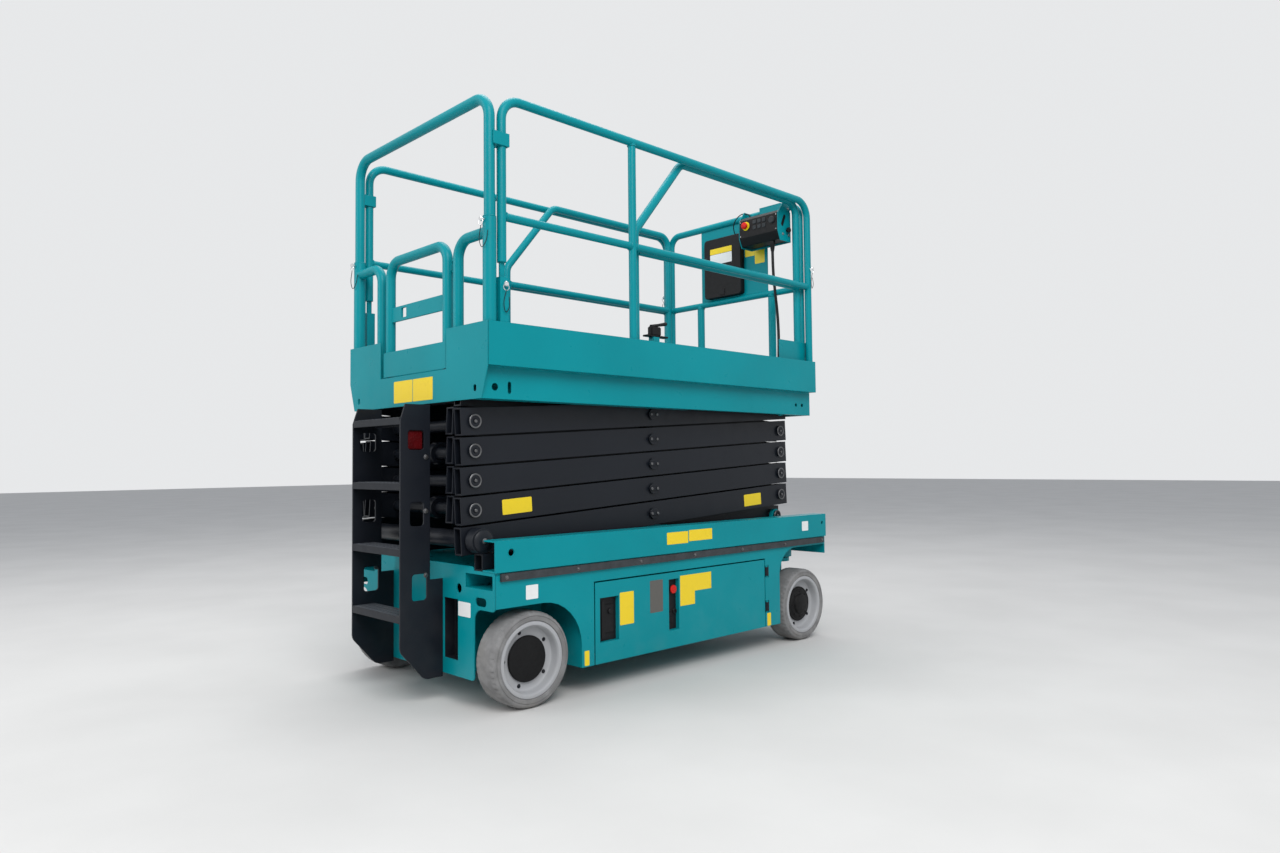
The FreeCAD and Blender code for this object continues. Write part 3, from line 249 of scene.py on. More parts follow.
SLOT_MATERIALS = {
    "tyre": TYRE_RUBBER, "rim": RIM_PAINT, "teal_paint": TEAL_PAINT, "dark_paint": DARK_PAINT,
    "scissor_paint": SCISSOR_PAINT, "strip": STRIP_RUBBER, "battery": BLACK_PLASTIC,
    "machine_grey": BARE_STEEL, "chrome": CHROME, "control_plastic": BLACK_PLASTIC,
    "black_plastic": BLACK_PLASTIC,
}


def dress_nodes():
    for entry in frame["record"]["subparts"]:
        node = frame["nodes"][entry["node"]]
        node.data.materials.clear()
        node.data.materials.append(SLOT_MATERIALS[entry["material_slot"]])


# Outlines

def side_on(y):
    """Puts (x, z) points on the plane at y."""
    return lambda u, v: Vector((u, y, v))


def end_on(x):
    """Puts (y, z) points on the plane at x."""
    return lambda u, v: Vector((x, u, v))


def level_on(z):
    """Puts (x, y) points on the plane at z."""
    return lambda u, v: Vector((u, v, z))


def widened(span, by):
    return span[0] - by, span[1] + by


def corner_arc(before, here, after, bend, steps=None):
    """Points of the arc that rounds the corner at here, in a plane or in space."""
    into, out = (here - before).normalized(), (after - here).normalized()
    turn = into.angle(out)
    back = bend * math.tan(turn / 2)
    centre = here + (out - into).normalized() * (bend / math.cos(turn / 2))
    first, last = here - into * back - centre, here + out * back - centre
    steps = steps or max(4, int(turn / math.radians(8)))
    return [centre + (first * math.sin((1 - k / steps) * turn)
                      + last * math.sin(k / steps * turn)) / math.sin(turn)
            for k in range(steps + 1)]


def rounded(corners, steps=8):
    """Outline from (u, v, radius) corners, each rounded by its radius; 0 stays sharp."""
    points = []
    for i, (u, v, radius) in enumerate(corners):
        if radius:
            trio = [Vector(corners[k % len(corners)][:2]) for k in (i - 1, i, i + 1)]
            points += [tuple(point) for point in corner_arc(*trio, radius, steps)]
        else:
            points.append((u, v))
    return points


def rectangle(u0, u1, v0, v1):
    return [(u0, v0), (u1, v0), (u1, v1), (u0, v1)]


def circle(u, v, radius, steps=28):
    return [(u + radius * math.cos(2 * math.pi * i / steps),
             v + radius * math.sin(2 * math.pi * i / steps)) for i in range(steps)]


def oblong(u, v, length, height, radius, tilt=0.0, steps=8):
    """A rectangle with round corners about (u, v), turned by tilt degrees."""
    c, s = math.cos(math.radians(tilt)), math.sin(math.radians(tilt))
    corners = [(u + (a * c * length - b * s * height) / 2,
                v + (a * s * length + b * c * height) / 2, radius)
               for a, b in ((-1, -1), (1, -1), (1, 1), (-1, 1))]
    return rounded(corners, steps)


def slot(u, v, length, height, tilt=0.0):
    """A slot with round ends, or a round hole."""
    return oblong(u, v, length, height, 0.49 * min(length, height), tilt)


def card(width, height, radius=0.004):
    """A small rectangle with round corners about the origin."""
    return oblong(0, 0, width, height, radius, steps=4)


def ear(z, radius, foot, foot_z):
    """A plate that holds a front pin at height z, from its wide foot at foot_z."""
    way = 1 if z > foot_z else -1
    arch = [(FRONT_PIN_X + way * radius * math.cos(math.pi * i / 14),
             z + way * radius * math.sin(math.pi * i / 14)) for i in range(15)]
    return [(FRONT_PIN_X - way * foot, foot_z), (FRONT_PIN_X + way * foot, foot_z), *arch]


def smooth_line(points, steps=8):
    """Points along a smooth line through the given ones."""
    points = [Vector(p) for p in points]
    ends = [points[0] * 2 - points[1], *points, points[-1] * 2 - points[-2]]
    line = []
    for a, b, c, d in zip(ends, ends[1:], ends[2:], ends[3:]):
        for k in range(steps):
            t = k / steps
            line.append(0.5 * (2 * b + (c - a) * t + (2 * a - 5 * b + 4 * c - d) * t ** 2
                               + (3 * b - a - 3 * c + d) * t ** 3))
    return line + [points[-1]]


# Mesh making

class Piece:
    """One mesh, put together from simple forms, that rides on one body."""

    def __init__(self, name, body, slot, material=None):
        self.name, self.body, self.slot = name, body, slot
        self.material = material or SLOT_MATERIALS[slot]
        self.bm = bmesh.new()

    def loops(self, rings):
        """Skins rings of points, each a list of places in space, and caps both ends."""
        rows = [[self.bm.verts.new(p) for p in ring] for ring in rings]
        for a, b in zip(rows, rows[1:]):
            for i in range(len(a)):
                j = (i + 1) % len(a)
                self.bm.faces.new((a[i], a[j], b[j], b[i]))
        self.bm.faces.new(rows[0][::-1])
        self.bm.faces.new(rows[-1])

    def turned(self, at, axis, profile, segments=24, dent=None):
        """A solid of revolution from (radius, along) points; dent(i, j) is taken off a radius."""
        at, axis = Vector(at), Vector(axis).normalized()
        u = axis.orthogonal().normalized()
        v = axis.cross(u)
        rows = []
        for i in range(segments):
            angle = 2 * math.pi * i / segments
            out = u * math.cos(angle) + v * math.sin(angle)
            places = [at + out * (radius - (dent(i, j) if dent else 0.0)) + axis * along
                      for j, (radius, along) in enumerate(profile)]
            rows.append([self.bm.verts.new(place) for place in places])
        for a, b in zip(rows, rows[1:] + rows[:1]):
            for j in range(len(profile)):
                k = (j + 1) % len(profile)
                self.bm.faces.new((a[j], b[j], b[k], a[k]))
        bmesh.ops.remove_doubles(self.bm, verts=[v for row in rows for v in row], dist=1e-6)

    def slab(self, outline, origin, u, v, thick, edge=0.0):
        """A flat plate: an outline of (u, v) points, thickened along u x v, with its front
        edges drawn in by edge."""
        origin, u, v = Vector(origin), Vector(u).normalized(), Vector(v).normalized()
        middle = Vector((sum(p[0] for p in outline), sum(p[1] for p in outline))) / len(outline)

        def ring(height, inset):
            points = []
            for place in outline:
                place = Vector(place)
                place -= (place - middle).normalized() * inset
                points.append(origin + u * place.x + v * place.y + u.cross(v) * height)
            return points

        self.loops([ring(0, 0), ring(thick - edge, 0)] + [ring(thick, edge)] * bool(edge))

    def block(self, x, y, z, edge=0.001):
        """A box between (low, high) pairs with rounded edges."""
        made = bmesh.ops.create_cube(self.bm, size=1.0)
        size = Vector((x[1] - x[0], y[1] - y[0], z[1] - z[0]))
        middle = Vector((x[0] + x[1], y[0] + y[1], z[0] + z[1])) / 2
        for vert in made["verts"]:
            vert.co = vert.co * size + middle
        edges = list({e for vert in made["verts"] for e in vert.link_edges})
        bmesh.ops.bevel(self.bm, geom=edges, offset=edge, segments=2, affect="EDGES")

    def box(self, x0, x1, y0, y1, z0, z1):
        self.loops([[(x0, y0, z), (x1, y0, z), (x1, y1, z), (x0, y1, z)] for z in (z0, z1)])

    def walls(self, x, y, z, wall, open_at):
        """A box of thin walls between (low, high) pairs; open_at names the face left out."""
        names = [("-" + axis, "+" + axis) for axis in "xyz"]
        for i, (low, high) in enumerate((x, y, z)):
            for name, span in zip(names[i], ((low, low + wall), (high - wall, high))):
                if name == open_at:
                    continue
                spans = [x, y, z]
                spans[i] = span
                for j in range(i):
                    spans[j] = (spans[j][0] + wall * (open_at != names[j][0]),
                                spans[j][1] - wall * (open_at != names[j][1]))
                self.box(*spans[0], *spans[1], *spans[2])

    def plate(self, outline, place, depth, holes=()):
        """A flat plate with holes: outlines that place() puts in space, thickened by depth."""
        outlines = [outline, *holes]
        flat = [[Vector((u, v, 0)) for u, v in line] for line in outlines]
        near = [self.bm.verts.new(place(u, v)) for line in outlines for u, v in line]
        far = [self.bm.verts.new(vert.co + depth) for vert in near]
        for a, b, c in tessellate_polygon(flat):
            self.bm.faces.new((near[a], near[b], near[c]))
            self.bm.faces.new((far[c], far[b], far[a]))
        start = 0
        for line in outlines:
            for i in range(len(line)):
                a, b = start + i, start + (i + 1) % len(line)
                self.bm.faces.new((near[a], far[a], far[b], near[b]))
            start += len(line)

    def bar(self, points, radius, segments=10, taper=None):
        """A round bar that follows points; taper gives a radius for each point."""
        points = [Vector(p) for p in points]
        side = (points[1] - points[0]).orthogonal().normalized()
        rings = []
        for i, point in enumerate(points):
            run = points[min(i + 1, len(points) - 1)] - points[max(i - 1, 0)]
            run.normalize()
            side = (side - run * side.dot(run)).normalized()
            r = taper[i] if taper else radius
            angles = [2 * math.pi * k / segments for k in range(segments)]
            rings.append([point + side * r * math.cos(a) + run.cross(side) * r * math.sin(a)
                          for a in angles])
        self.loops(rings)

    def post(self, x, y, z, radius, segments=24):
        """An upright round bar between a (low, high) pair of heights."""
        self.bar([(x, y, z[0]), (x, y, z[1])], radius, segments)

    def tube(self, corners, radius, bend):
        """A round bar along straight runs that are joined by arcs of one bend radius."""
        corners = [Vector(c) for c in corners]
        points = corners[:1]
        for trio in zip(corners, corners[1:], corners[2:]):
            points += corner_arc(*trio, bend)
        self.bar(points + corners[-1:], radius, 24)

    def bolt(self, at, axis, size, washer=True):
        """A hexagon head, on a washer or bare; size is half its width over the corners."""
        base = 0.0
        if washer:
            base = size * 0.22
            self.turned(at, axis, [(0, 0), (size * 1.35, 0), (size * 1.35, size * 0.16),
                                   (size * 1.25, base), (0, base)], 20)
        self.turned(at, axis, [(0, base), (size, base), (size, base + size * 0.55),
                               (size * 0.84, base + size * 0.70), (0, base + size * 0.70)], 6)

    def weld(self, at, axis, radius, size):
        """A bead of weld round a tube."""
        self.turned(at, axis, [(radius - 0.001, -size), (radius + size * 0.5, -size * 0.8),
                               (radius + size, 0.0), (radius + size * 0.6, size * 0.7),
                               (radius - 0.001, size)], 28)

    def mirror(self):
        """Adds the other side of what has been made so far."""
        made = bmesh.ops.duplicate(self.bm, geom=[*self.bm.verts, *self.bm.edges, *self.bm.faces])
        for item in made["geom"]:
            if isinstance(item, bmesh.types.BMVert):
                item.co.y = -item.co.y

    def done(self, side=1, sharp=35.0):
        """Ends the mesh; what was made on the left goes to the side that is asked for."""
        for vert in self.bm.verts:
            vert.co.y *= side
        bmesh.ops.recalc_face_normals(self.bm, faces=self.bm.faces)
        mesh = bpy.data.meshes.new(self.name)
        self.bm.to_mesh(mesh)
        self.bm.free()
        mesh.transform(Matrix.Translation((WHEELBASE_X, 0, 0)))
        mesh.shade_smooth()
        mesh.set_sharp_from_angle(angle=math.radians(sharp))
        mesh.materials.append(self.material)
        thing = bpy.data.objects.new(self.name, mesh)
        bpy.context.scene.collection.objects.link(thing)
        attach(thing, self.body)
        return thing


# Chassis

CHASSIS_REAR, CHASSIS_FRONT = -1.106, 1.121
SKIRT_Y, SKIRT_BOTTOM = 0.575, 0.117
EDGE_Y = SKIRT_Y - SHEET
DECK_TOP, UNDER_DECK = 0.550, 0.542
ARCH_TOP, ARCH_FRONT, ARCH_RADIUS = 0.410, -0.668, 0.200
FRONT_EDGE, FRONT_ARCH_TOP, FRONT_ARCH_RADIUS = 0.700, 0.505, 0.135
SPINE_Y, SPINE_FRONT = 0.300, 0.646
FRONT_PLATE_BOTTOM = 0.454
FRONT_LEG_Y, FRONT_LEG_THICK = 0.200, 0.020
REAR_PLATE_TOP, REAR_PLATE_LOW_Y = 0.565, 0.436
LOBE_BOTTOM, LOBE_RADIUS, PLATE_CORNER = 0.400, 0.050, 0.015
POCKET_Y0, POCKET_HEIGHT, POCKET_DEPTH = 0.377, 0.055, 0.200
RECESS_Y, RECESS_Z, RECESS_DEPTH = (0.215, 0.321), (0.180, 0.425), 0.060
LASHING_SLOT = (0.483, 0.430, 0.076, 0.034)
WIRE_HOLE = (0.329, 0.471, 0.019)
AXLE_BOTTOM, AXLE_HALF_X, AXLE_BORE = 0.442, 0.075, 0.0383
EAR_THICK, EAR_RADIUS, EAR_FOOT, PIN_BORE = 0.020, 0.036, 0.075, 0.0201

DOOR_REAR, DOOR_FRONT, DOOR_TOP = -0.593, 0.571, 0.461
DOOR_THICK, DOOR_GAP = 0.004, 0.006
DOOR_INNER_Y = SKIRT_Y - DOOR_THICK
HINGE_X, HINGE_Y, HINGE_Z = 0.590, 0.572, (0.220, 0.400)
HINGE_PIN, HINGE_SLEEVE, HINGE_HEIGHT = 0.007, 0.012, 0.060
HINGE_PLAY, HINGE_STRAP, STRAP_THICK = 0.008, 0.030, 0.009
SHELF_REAR, SHELF_FRONT, SHELF_INNER_Y = -0.500, 0.555, 0.330
SHELF_BOTTOM, SHELF_LIP = 0.135, 0.050
SHELF_END_Y, SHELF_END_DROP = 0.390, 0.060
LATCH_RECESS_X, LATCH_RECESS_Z = (-0.566, -0.457), (0.205, 0.393)
CONTROL_RECESS_X, CONTROL_RECESS_Z = (-0.143, -0.076), (0.197, 0.430)
DOOR_RECESS, RECESS_WALL = 0.020, 0.003
RECESS_FLOOR = SKIRT_Y - DOOR_RECESS
HANDLE_X, HANDLE_Z = (-0.560, -0.535), (0.215, 0.385)
LATCH_BODY_X, LATCH_BODY_Z, LATCH_BODY_TOP = (-0.549, -0.475), (0.238, 0.360), 0.007
LOCK_AT, LOCK = (-0.498, 0.330), [(0, 0), (0.0125, 0), (0.0125, 0.0050), (0.0105, 0.0070),
                                  (0, 0.0070)]


def make_chassis():
    """The deck, the skirts with their arches, the spine and the rear plate."""
    p = Piece("chassis_shell", "chassis", "teal_paint")
    rear, front = CHASSIS_REAR + SHEET, CHASSIS_FRONT - SHEET
    edge, door_edge, above_door = DOOR_FRONT + DOOR_GAP, DOOR_REAR - DOOR_GAP, DOOR_TOP + DOOR_GAP
    notch, half = HINGE_X + HINGE_SLEEVE + RUN_GAP + DOOR_THICK, HINGE_HEIGHT / 2
    notches = [(x, z + up, 0) for z in reversed(HINGE_Z)
               for x, up in ((edge, half), (notch, half), (notch, -half), (edge, -half))]
    skirt = rounded([
        (rear, UNDER_DECK, 0), (rear, ARCH_TOP, 0), (ARCH_FRONT, ARCH_TOP, ARCH_RADIUS),
        (ARCH_FRONT, SKIRT_BOTTOM, 0), (door_edge, SKIRT_BOTTOM, 0), (door_edge, above_door, 0),
        (edge, above_door, 0), *notches, (edge, SKIRT_BOTTOM, 0), (FRONT_EDGE, SKIRT_BOTTOM, 0),
        (FRONT_EDGE, FRONT_ARCH_TOP, FRONT_ARCH_RADIUS), (front, FRONT_ARCH_TOP, 0),
        (front, UNDER_DECK, 0),
    ])
    p.plate(skirt, side_on(SKIRT_Y), Y_AXIS * -SHEET)
    for z in HINGE_Z:
        p.post(HINGE_X, HINGE_Y, (z - half, z + half), HINGE_PIN, 16)
    p.box(ARCH_FRONT, ARCH_FRONT + SHEET, SPINE_Y, EDGE_Y, SKIRT_BOTTOM, UNDER_DECK)
    p.walls((rear, CHASSIS_REAR + POCKET_DEPTH), (POCKET_Y0 - SHEET, EDGE_Y),
            (UNDER_DECK - POCKET_HEIGHT - 2 * SHEET, UNDER_DECK), SHEET, "-x")
    p.plate(ear(LEVEL_0, EAR_RADIUS, EAR_FOOT, DECK_TOP), side_on(OUTER_Y0), Y_AXIS * EAR_THICK,
            [circle(FRONT_PIN_X, LEVEL_0, PIN_BORE)])
    web = rectangle(CHASSIS_REAR + RECESS_DEPTH + SEAT_GAP, SPINE_FRONT - SHEET,
                    SKIRT_BOTTOM + SHEET, UNDER_DECK)
    p.plate(web, side_on(SPINE_Y - SHEET), Y_AXIS * SHEET,
            [circle(-WHEEL_X, WHEEL_RADIUS, AXLE_BORE)])
    leg = rectangle(SPINE_FRONT, front, AXLE_BOTTOM, UNDER_DECK)
    axle = rectangle(WHEEL_X - AXLE_HALF_X, WHEEL_X + AXLE_HALF_X, AXLE_BOTTOM + RUN_GAP,
                     UNDER_DECK - RUN_GAP)
    p.plate(leg, side_on(FRONT_LEG_Y), Y_AXIS * FRONT_LEG_THICK, [axle])
    p.mirror()
    low = REAR_PLATE_LOW_Y
    left = [(low, REAR_PLATE_TOP, PLATE_CORNER), (low, DECK_TOP, 0), (SKIRT_Y, DECK_TOP, 0),
            (SKIRT_Y, LOBE_BOTTOM, PLATE_CORNER), (low, LOBE_BOTTOM, LOBE_RADIUS),
            (low, SKIRT_BOTTOM, PLATE_CORNER)]
    right = [(-y, z, radius) for y, z, radius in reversed(left)]
    pocket_top = UNDER_DECK - SHEET
    openings = [rectangle(POCKET_Y0, EDGE_Y - SHEET, pocket_top - POCKET_HEIGHT, pocket_top),
                rectangle(*RECESS_Y, *RECESS_Z), slot(*LASHING_SLOT), circle(*WIRE_HOLE)]
    p.plate(rounded(left + right), end_on(CHASSIS_REAR), X_AXIS * SHEET,
            [[(side * y, z) for y, z in opening] for _, side in SIDES for opening in openings])
    p.box(rear, front, -SKIRT_Y, SKIRT_Y, UNDER_DECK, DECK_TOP)
    p.box(rear, SPINE_FRONT - SHEET, -SPINE_Y, SPINE_Y, SKIRT_BOTTOM, SKIRT_BOTTOM + SHEET)
    p.box(SPINE_FRONT - SHEET, SPINE_FRONT, -EDGE_Y, EDGE_Y, SKIRT_BOTTOM, UNDER_DECK)
    p.box(front, CHASSIS_FRONT, -SKIRT_Y, SKIRT_Y, FRONT_PLATE_BOTTOM, DECK_TOP)
    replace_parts(p.done(), "chassis_frame")
    # Near-black linings of the rear plate's service recesses: painted shade that darkens the inside
    # of the recesses.
    pans = Piece("recess_shade_pans", "chassis", "dark_paint")
    pans.walls((rear, CHASSIS_REAR + RECESS_DEPTH), widened(RECESS_Y, SHEET),
               widened(RECESS_Z, SHEET), SHEET, "-x")
    pans.mirror()
    pans.done()


def make_trays():
    """The doors with their recesses, hinges and latches, and the shelves behind them."""
    reach = HINGE_HEIGHT / 2 - HINGE_PLAY
    pan_y = RECESS_FLOOR - RECESS_WALL
    for side_name, side in SIDES:
        body = "tray_" + side_name
        recesses = [(LATCH_RECESS_X, LATCH_RECESS_Z)]
        if side < 0:
            recesses.append((CONTROL_RECESS_X, CONTROL_RECESS_Z))
        p = Piece("tray_door_" + side_name, body, "teal_paint")
        p.plate(rectangle(DOOR_REAR, DOOR_FRONT, SKIRT_BOTTOM, DOOR_TOP), side_on(SKIRT_Y),
                Y_AXIS * -DOOR_THICK, [rectangle(*x, *z) for x, z in recesses])
        for x, z in recesses:
            p.walls(widened(x, RECESS_WALL), (pan_y, DOOR_INNER_Y), widened(z, RECESS_WALL),
                    RECESS_WALL, "+y")
        shelf_top = SHELF_BOTTOM + SHEET
        p.box(SHELF_REAR, SHELF_FRONT, SHELF_INNER_Y, DOOR_INNER_Y, SHELF_BOTTOM, shelf_top)
        p.box(SHELF_REAR, SHELF_FRONT, SHELF_INNER_Y, SHELF_INNER_Y + SHEET, shelf_top,
              SHELF_BOTTOM + SHELF_LIP)
        for x, end_y in ((SHELF_REAR, pan_y), (SHELF_FRONT - SHEET, DOOR_INNER_Y)):
            p.box(x, x + SHEET, SHELF_END_Y, end_y, shelf_top, DOOR_TOP - SHELF_END_DROP)
        hinges = Piece("door_hinges_" + side_name, body, "dark_paint")
        for z in HINGE_Z:
            p.box(DOOR_FRONT - HINGE_STRAP, HINGE_X, DOOR_INNER_Y - STRAP_THICK, DOOR_INNER_Y,
                  z - reach, z + reach)
            hinges.post(HINGE_X, HINGE_Y, (z - reach, z + reach), HINGE_SLEEVE, 20)
        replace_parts(p.done(side), "tray_" + side_name)
        hinges.done(side)
        latch = Piece("door_latch_" + side_name, body, "black_plastic")
        floor, proud = RECESS_FLOOR, RECESS_FLOOR + LATCH_BODY_TOP
        # The first block is a thin black plate over the whole recess floor, dressed as the latch's
        # plate: painted shade that makes the shallow recess look dark and deep.
        latch.block(widened(LATCH_RECESS_X, -0.001), (floor - 0.001, floor + 0.001),
                    widened(LATCH_RECESS_Z, -0.001), 0.0005)
        latch.block(LATCH_BODY_X, (floor, proud), LATCH_BODY_Z, 0.003)
        latch.block(HANDLE_X, (proud - 0.001, proud + 0.011), HANDLE_Z, 0.005)
        latch.turned((LOCK_AT[0], proud, LOCK_AT[1]), Y_AXIS, LOCK)
        latch.done(side)


STRIP_BOLTS_X = (-1.055, -0.694, -0.331, 0.026, 0.381, 0.736, 1.078)
STRINGER_BOLTS_Z = (0.520, 0.780, 1.000)
REAR_PLATE_BOLTS = (0.120, 0.300)
BEAM_HOLE_AT = (-1.033, 0.625)
BEAM_HOLE_RIM = [(0.0145, -0.003), (0.0185, -0.003), (0.0185, 0.0004), (0.0165, 0.0009),
                 (0.0145, 0.0004)]


def chassis_details():
    """Bolts, the lamp behind the near stringer, and the rims of the side beams' holes."""
    bolts = Piece("chassis_bolts", "chassis", "machine_grey", PIN_STEEL)
    rims = Piece("beam_edges", "chassis", "teal_paint")
    for _, side in SIDES:
        out = Y_AXIS * side
        for x in STRIP_BOLTS_X:
            bolts.bolt((x, side * STRIP_Y, 0.530), out, 0.0065)
        for z in STRINGER_BOLTS_Z:
            bolts.bolt((-1.185, side * (LADDER_Y + LADDER_THICK), z), out, 0.008)
        bolts.bolt((CHASSIS_REAR + RECESS_DEPTH - SHEET, side * 0.262, 0.270), -X_AXIS, 0.012)
        bolts.bolt((CHASSIS_REAR, side * REAR_PLATE_BOLTS[0], REAR_PLATE_BOLTS[1]), -X_AXIS, 0.011)
        rims.turned((BEAM_HOLE_AT[0], side * (BEAM_Y + 0.0001), BEAM_HOLE_AT[1]), out,
                    BEAM_HOLE_RIM, 28)
    bolts.done()
    lamp = Piece("rear_lamp", "chassis", "black_plastic", LAMP_RED)
    lamp.block((-1.266, -1.195), (-0.1995, -0.170), (1.030, 1.109), 0.004)
    lamp.done()
    rims.done()


# Ladder

LADDER_Y, LADDER_THICK = 0.200, 0.008
LADDER_REAR, LADDER_FRONT = -1.300, -1.166
LADDER_BOTTOM, LADDER_TOP, LADDER_SEAT_TOP = 0.100, 1.215, 0.500
LADDER_TOP_CUT, LADDER_TOE, LADDER_BEND = (0.022, 0.067), (0.110, 0.125), 0.045
STEP_TOPS = (0.365, 0.630, 0.895, 1.160)
STEP_DEPTH, STEP_THICK, STEP_SHEET = 0.105, 0.028, 0.004
# Above each lower step: from the rear edge, width, above the step, height
LADDER_HOLES = ((0.052, 0.068, 0.055, 0.107), (0.043, 0.063, 0.090, 0.098),
                (0.033, 0.073, 0.134, 0.081))
HOLE_CORNER = 0.014
STUD = [(0.0, -0.0005), (0.0085, -0.0005), (0.0078, 0.0012), (0.0055, 0.0022),
        (0.0035, 0.0022), (0.0030, 0.0010), (0.0, 0.0010)]
STUD_ROWS_X = (-1.2785, -1.2475, -1.2165)
STUD_PITCH, STUDS_EACH_WAY = 0.030, 6


def make_ladder():
    p = Piece("ladder_sheet", "chassis", "dark_paint", LADDER_PAINT)
    holes = [oblong(LADDER_REAR + inset + width / 2, z + above + height / 2, width, height,
                    HOLE_CORNER)
             for z, (inset, width, above, height) in zip(STEP_TOPS, LADDER_HOLES)]
    seat_x = CHASSIS_REAR - SEAT_GAP
    stringer = rounded([
        (LADDER_FRONT, LADDER_SEAT_TOP, 0), (LADDER_FRONT, LADDER_TOP, 0),
        (LADDER_REAR + LADDER_TOP_CUT[0], LADDER_TOP, 0),
        (LADDER_REAR, LADDER_TOP - LADDER_TOP_CUT[1], 0),
        (LADDER_REAR, LADDER_BOTTOM + LADDER_TOE[1], LADDER_BEND),
        (LADDER_REAR + LADDER_TOE[0], LADDER_BOTTOM, LADDER_BEND),
        (seat_x, LADDER_BOTTOM, 0), (seat_x, LADDER_SEAT_TOP, 0),
    ])
    p.plate(stringer, side_on(LADDER_Y), Y_AXIS * LADDER_THICK, holes)
    p.mirror()
    treads = Piece("step_treads", "chassis", "dark_paint", TREAD_PAINT)
    for z in STEP_TOPS:
        p.walls((LADDER_REAR, LADDER_REAR + STEP_DEPTH), (-LADDER_Y, LADDER_Y),
                (z - STEP_THICK, z), STEP_SHEET, "-z")
        treads.block((-1.2985, -1.1965), (-0.1990, 0.1990), (z - 0.0004, z + 0.0012), 0.0005)
        for x in STUD_ROWS_X:
            for i in range(-STUDS_EACH_WAY, STUDS_EACH_WAY + 1):
                treads.turned((x, i * STUD_PITCH, z + 0.0012), Z_AXIS, STUD, 12)
    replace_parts(p.done(), "ladder")
    treads.done()


# Platform

PLATFORM_REAR, PLATFORM_FRONT, PLATFORM_Y = -1.133, 1.065, 0.574
BAND_TOP, BAND_STEP, BAND_BOTTOM, BAND_FOOT = 1.525, 1.353, 1.225, 0.030
LOW_BAND_Y = 0.530
LOW_BAND_INNER = LOW_BAND_Y - BAND_SHEET
FLOOR_TOP = BAND_STEP + 0.006
SLIDE_RAIL_Y0, SLIDE_RAIL_Y1, SLIDE_END_X, TRACK_HALF = 0.437, 0.495, 0.1155, 0.0255
RIBS_X, RIB_WIDTH, RIB_HEIGHT = (-0.9, -0.4, 0.1, 0.6), 0.050, 0.028
TOP_EAR_THICK, TOP_EAR_RADIUS, TOP_EAR_FOOT = 0.014, 0.034, 0.060
TOP_PIN_RADIUS, TOP_PIN_IN = 0.020, 0.004
BAND_HOLES = ((-1.069, 1.272, 0.030, 0.030), (-0.999, 1.272, 0.017, 0.048),
              (0.936, 1.280, 0.020, 0.020), (0.993, 1.280, 0.020, 0.020))
END_SLOT = (0.485, 1.268, 0.022, 0.028)
ENTRY_HALF = 0.276

RAIL_TUBE, RAIL_BEND, TOP_RAIL_Z, MID_RAIL_Z = 0.019, 0.090, 2.430, 1.950
SIDE_REAR_POST_X, SIDE_FRONT_POST_X, MID_POST_X = -1.050, 1.040, -0.330
RAIL_Y = PLATFORM_Y - BAND_SHEET - SEAT_GAP - RAIL_TUBE
SOCKET_SIDE, SOCKET_WALL, SOCKET_TOP, SOCKET_DEPTH = 0.040, 0.004, 1.704, 0.064
FOLD_END_Z, TONGUE = 1.765, (0.024, 0.010)

REAR_TUBE, REAR_SLEEVE, REAR_SLEEVE_TOP, SLEEVE_EDGE = 0.022, 0.027, 1.940, 0.004
REAR_RAIL_X = PLATFORM_REAR + BAND_SHEET + SEAT_GAP + REAR_SLEEVE
REAR_RAIL_Y = PLATFORM_Y - BAND_SHEET - SEAT_GAP - REAR_SLEEVE
CLIP_Z, CLIP_WALL = (2.227, 2.279), 0.004
HOOP_Y, HOOP_TOP, HOOP_BEND = 0.320, 1.883, 0.075

GATE_TUBE, GATE_HALF, GATE_BOTTOM, GATE_TOP = 0.022, 0.240, 1.364, 1.889
GATE_SHEET, GATE_SHEET_TOP = 0.003, 1.476
GATE_BAR, GATE_BAR_THICK = (1.614, 1.680), 0.010
LATCH_HOLE = (0.115, 1.648, 0.044, 0.044, 0.004)
GATE_HINGE_X, GATE_HINGE_Y, GATE_HINGE_Z = -1.078, -0.268, (1.480, 1.790)
GATE_SLEEVE, GATE_PIN, GATE_SLEEVE_HEIGHT = 0.011, 0.006, 0.040


